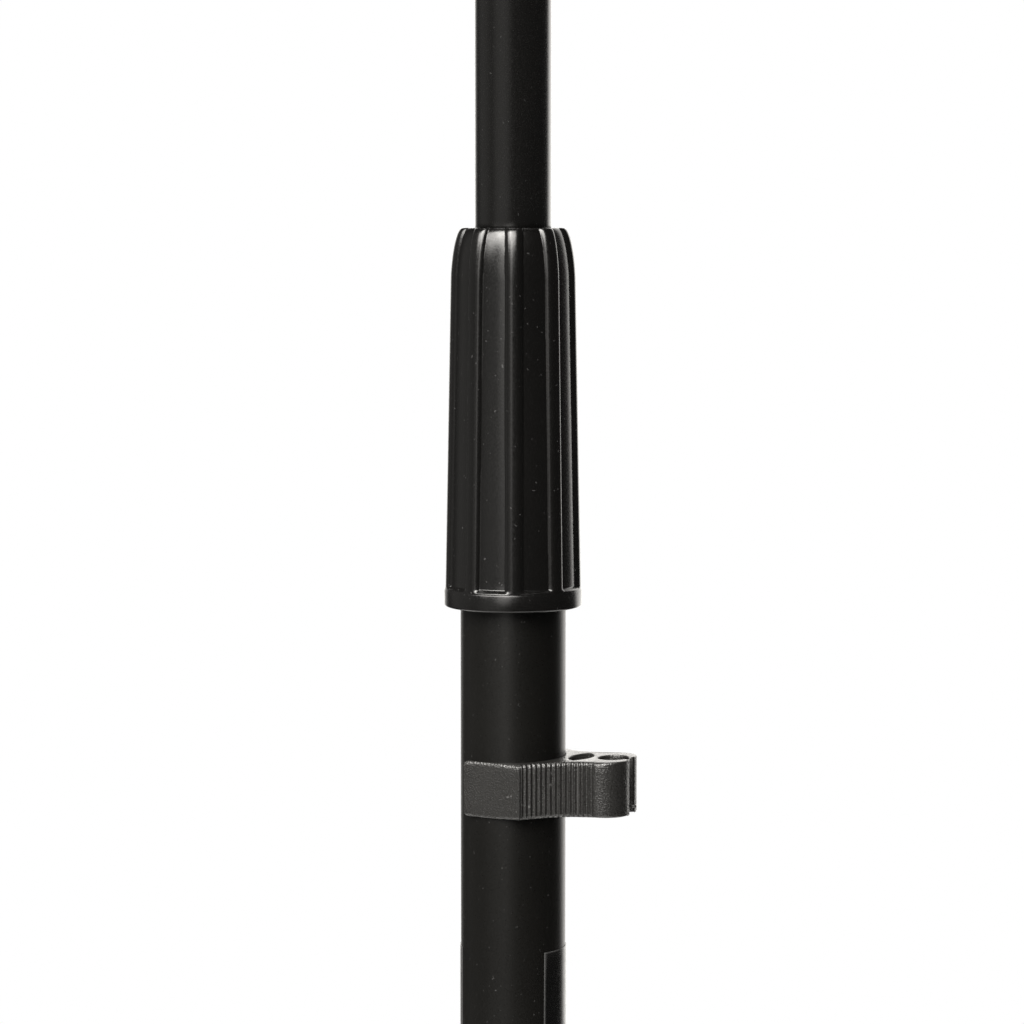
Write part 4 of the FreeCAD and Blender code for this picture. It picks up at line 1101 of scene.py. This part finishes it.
# ---------------------------------------------------------------- studio
def soft_lobe(tree, direction, centre, inner, outer, strength, before):
    """Adds a round soft light in the world, centred on an (azimuth, elevation) seen from the stand.

    Azimuth 0 is towards the camera and grows towards +X."""
    azimuth, elevation = (math.radians(a) for a in centre)
    vector = (math.sin(azimuth) * math.cos(elevation), -math.cos(azimuth) * math.cos(elevation),
              math.sin(elevation))
    dot = add_node(tree, "VectorMath", {1: vector})
    dot.operation = "DOT_PRODUCT"
    tree.links.new(direction, dot.inputs[0])
    edge = add_node(tree, "MapRange", {"From Min": math.cos(math.radians(outer)),
                                       "From Max": math.cos(math.radians(inner)),
                                       "To Min": 0.0, "To Max": strength})
    edge.interpolation_type = "SMOOTHSTEP"
    tree.links.new(dot.outputs["Value"], edge.inputs["Value"])
    total = add_node(tree, "Math", {1: 0.0})
    total.operation = "ADD"
    tree.links.new(edge.outputs["Result"], total.inputs[0])
    if before is not None:
        tree.links.new(before, total.inputs[1])
    return total.outputs["Value"]


SOFT_LIGHTS = [
    # (azimuth, elevation), inner and outer half angle, strength
    ((-14, 38), 5, 25, 17.0),
    ((-50, 38), 5, 25, 14.0),
    ((-30, 64), 8, 28, 10.0),
    ((-20, 88), 6, 24, 8.0),
    ((-16, 12), 2, 18, 2.4),
    ((-36, -10), 6, 36, 0.38),
    ((-95, 5), 10, 40, 0.25),
    ((162, 8), 24, 40, 2.3),
    ((-168, 4), 12, 28, 0.8),
]
FILL = 0.07
LIGHT_COLOUR = (1.0, 0.975, 0.935, 1)
LENS = 112.6             # mm, on a 36 mm sensor
CAMERA_SIDE = -0.25      # mm from the column's axis
CAMERA_AWAY = 671        # mm
CAMERA_DOWN = 5.07       # degrees
FLOOR_RAD = 0.75         # metres


def make_studio():
    world = bpy.data.worlds.new("studio")
    bpy.context.scene.world = world
    world.use_nodes = True
    tree = world.node_tree
    tree.nodes.clear()
    output = add_node(tree, "OutputWorld")
    where = add_node(tree, "TexCoord")
    total = None
    for centre, inner, outer, strength in SOFT_LIGHTS:
        total = soft_lobe(tree, where.outputs["Generated"], centre, inner, outer, strength, total)
    fill = add_node(tree, "Math", {1: FILL})
    fill.operation = "ADD"
    tree.links.new(total, fill.inputs[0])
    lights = add_node(tree, "Background", {"Color": LIGHT_COLOUR})
    tree.links.new(fill.outputs["Value"], lights.inputs["Strength"])
    plain = add_node(tree, "Background", {"Color": (1, 1, 1, 1)})
    path = add_node(tree, "LightPath")
    choose = add_node(tree, "MixShader")
    tree.links.new(path.outputs["Is Camera Ray"], choose.inputs["Fac"])
    tree.links.new(lights.outputs["Background"], choose.inputs[1])
    tree.links.new(plain.outputs["Background"], choose.inputs[2])
    tree.links.new(choose.outputs["Shader"], output.inputs["Surface"])


def make_floor():
    bm = bmesh.new()
    bmesh.ops.create_circle(bm, cap_ends=True, segments=96, radius=FLOOR_RAD)
    floor = add_object("floor", bm)
    material, tree, shader = new_material("pale_floor")
    tone = ramp(tree, noise(tree, 3.0), [(NOISE_LOW, grey(0.48)), (NOISE_HIGH, grey(0.52))])
    tree.links.new(tone, shader.inputs["Base Color"])
    shader.inputs["Roughness"].default_value = 0.7
    floor.data.materials.append(material)


def make_camera():
    """On the player's side at the height of the clutch's top, looking slightly down."""
    data = bpy.data.cameras.new("camera")
    data.lens = LENS
    data.sensor_width = 36.0
    data.clip_start = 0.05
    camera = bpy.data.objects.new("camera", data)
    camera.location = (CAMERA_SIDE * MM, -CAMERA_AWAY * MM, GRIP_TOP * MM)
    camera.rotation_euler = (math.radians(90 - CAMERA_DOWN), 0, 0)
    bpy.context.scene.collection.objects.link(camera)
    bpy.context.scene.camera = camera


bpy.context.scene.view_settings.view_transform = "Standard"
make_camera()
make_studio()
make_floor()
dress_cad_nodes()
make_tubes()
make_grip()
make_cable_clip()
make_label()
make_hub()
make_base_fastening()
for leg in LEGS:
    make_leg(leg)
make_socket()
make_head_screw()
make_tilt_hardware()
make_yoke()
make_desk_plate()
make_shelf()
make_rivets("yoke_rivet_set", "yoke_rivets", YOKE_RIVETS, YOKE_THICK)
make_rivets("shelf_rivet_set", "shelf_rivets", SHELF_RIVETS, SHELF_THICK)
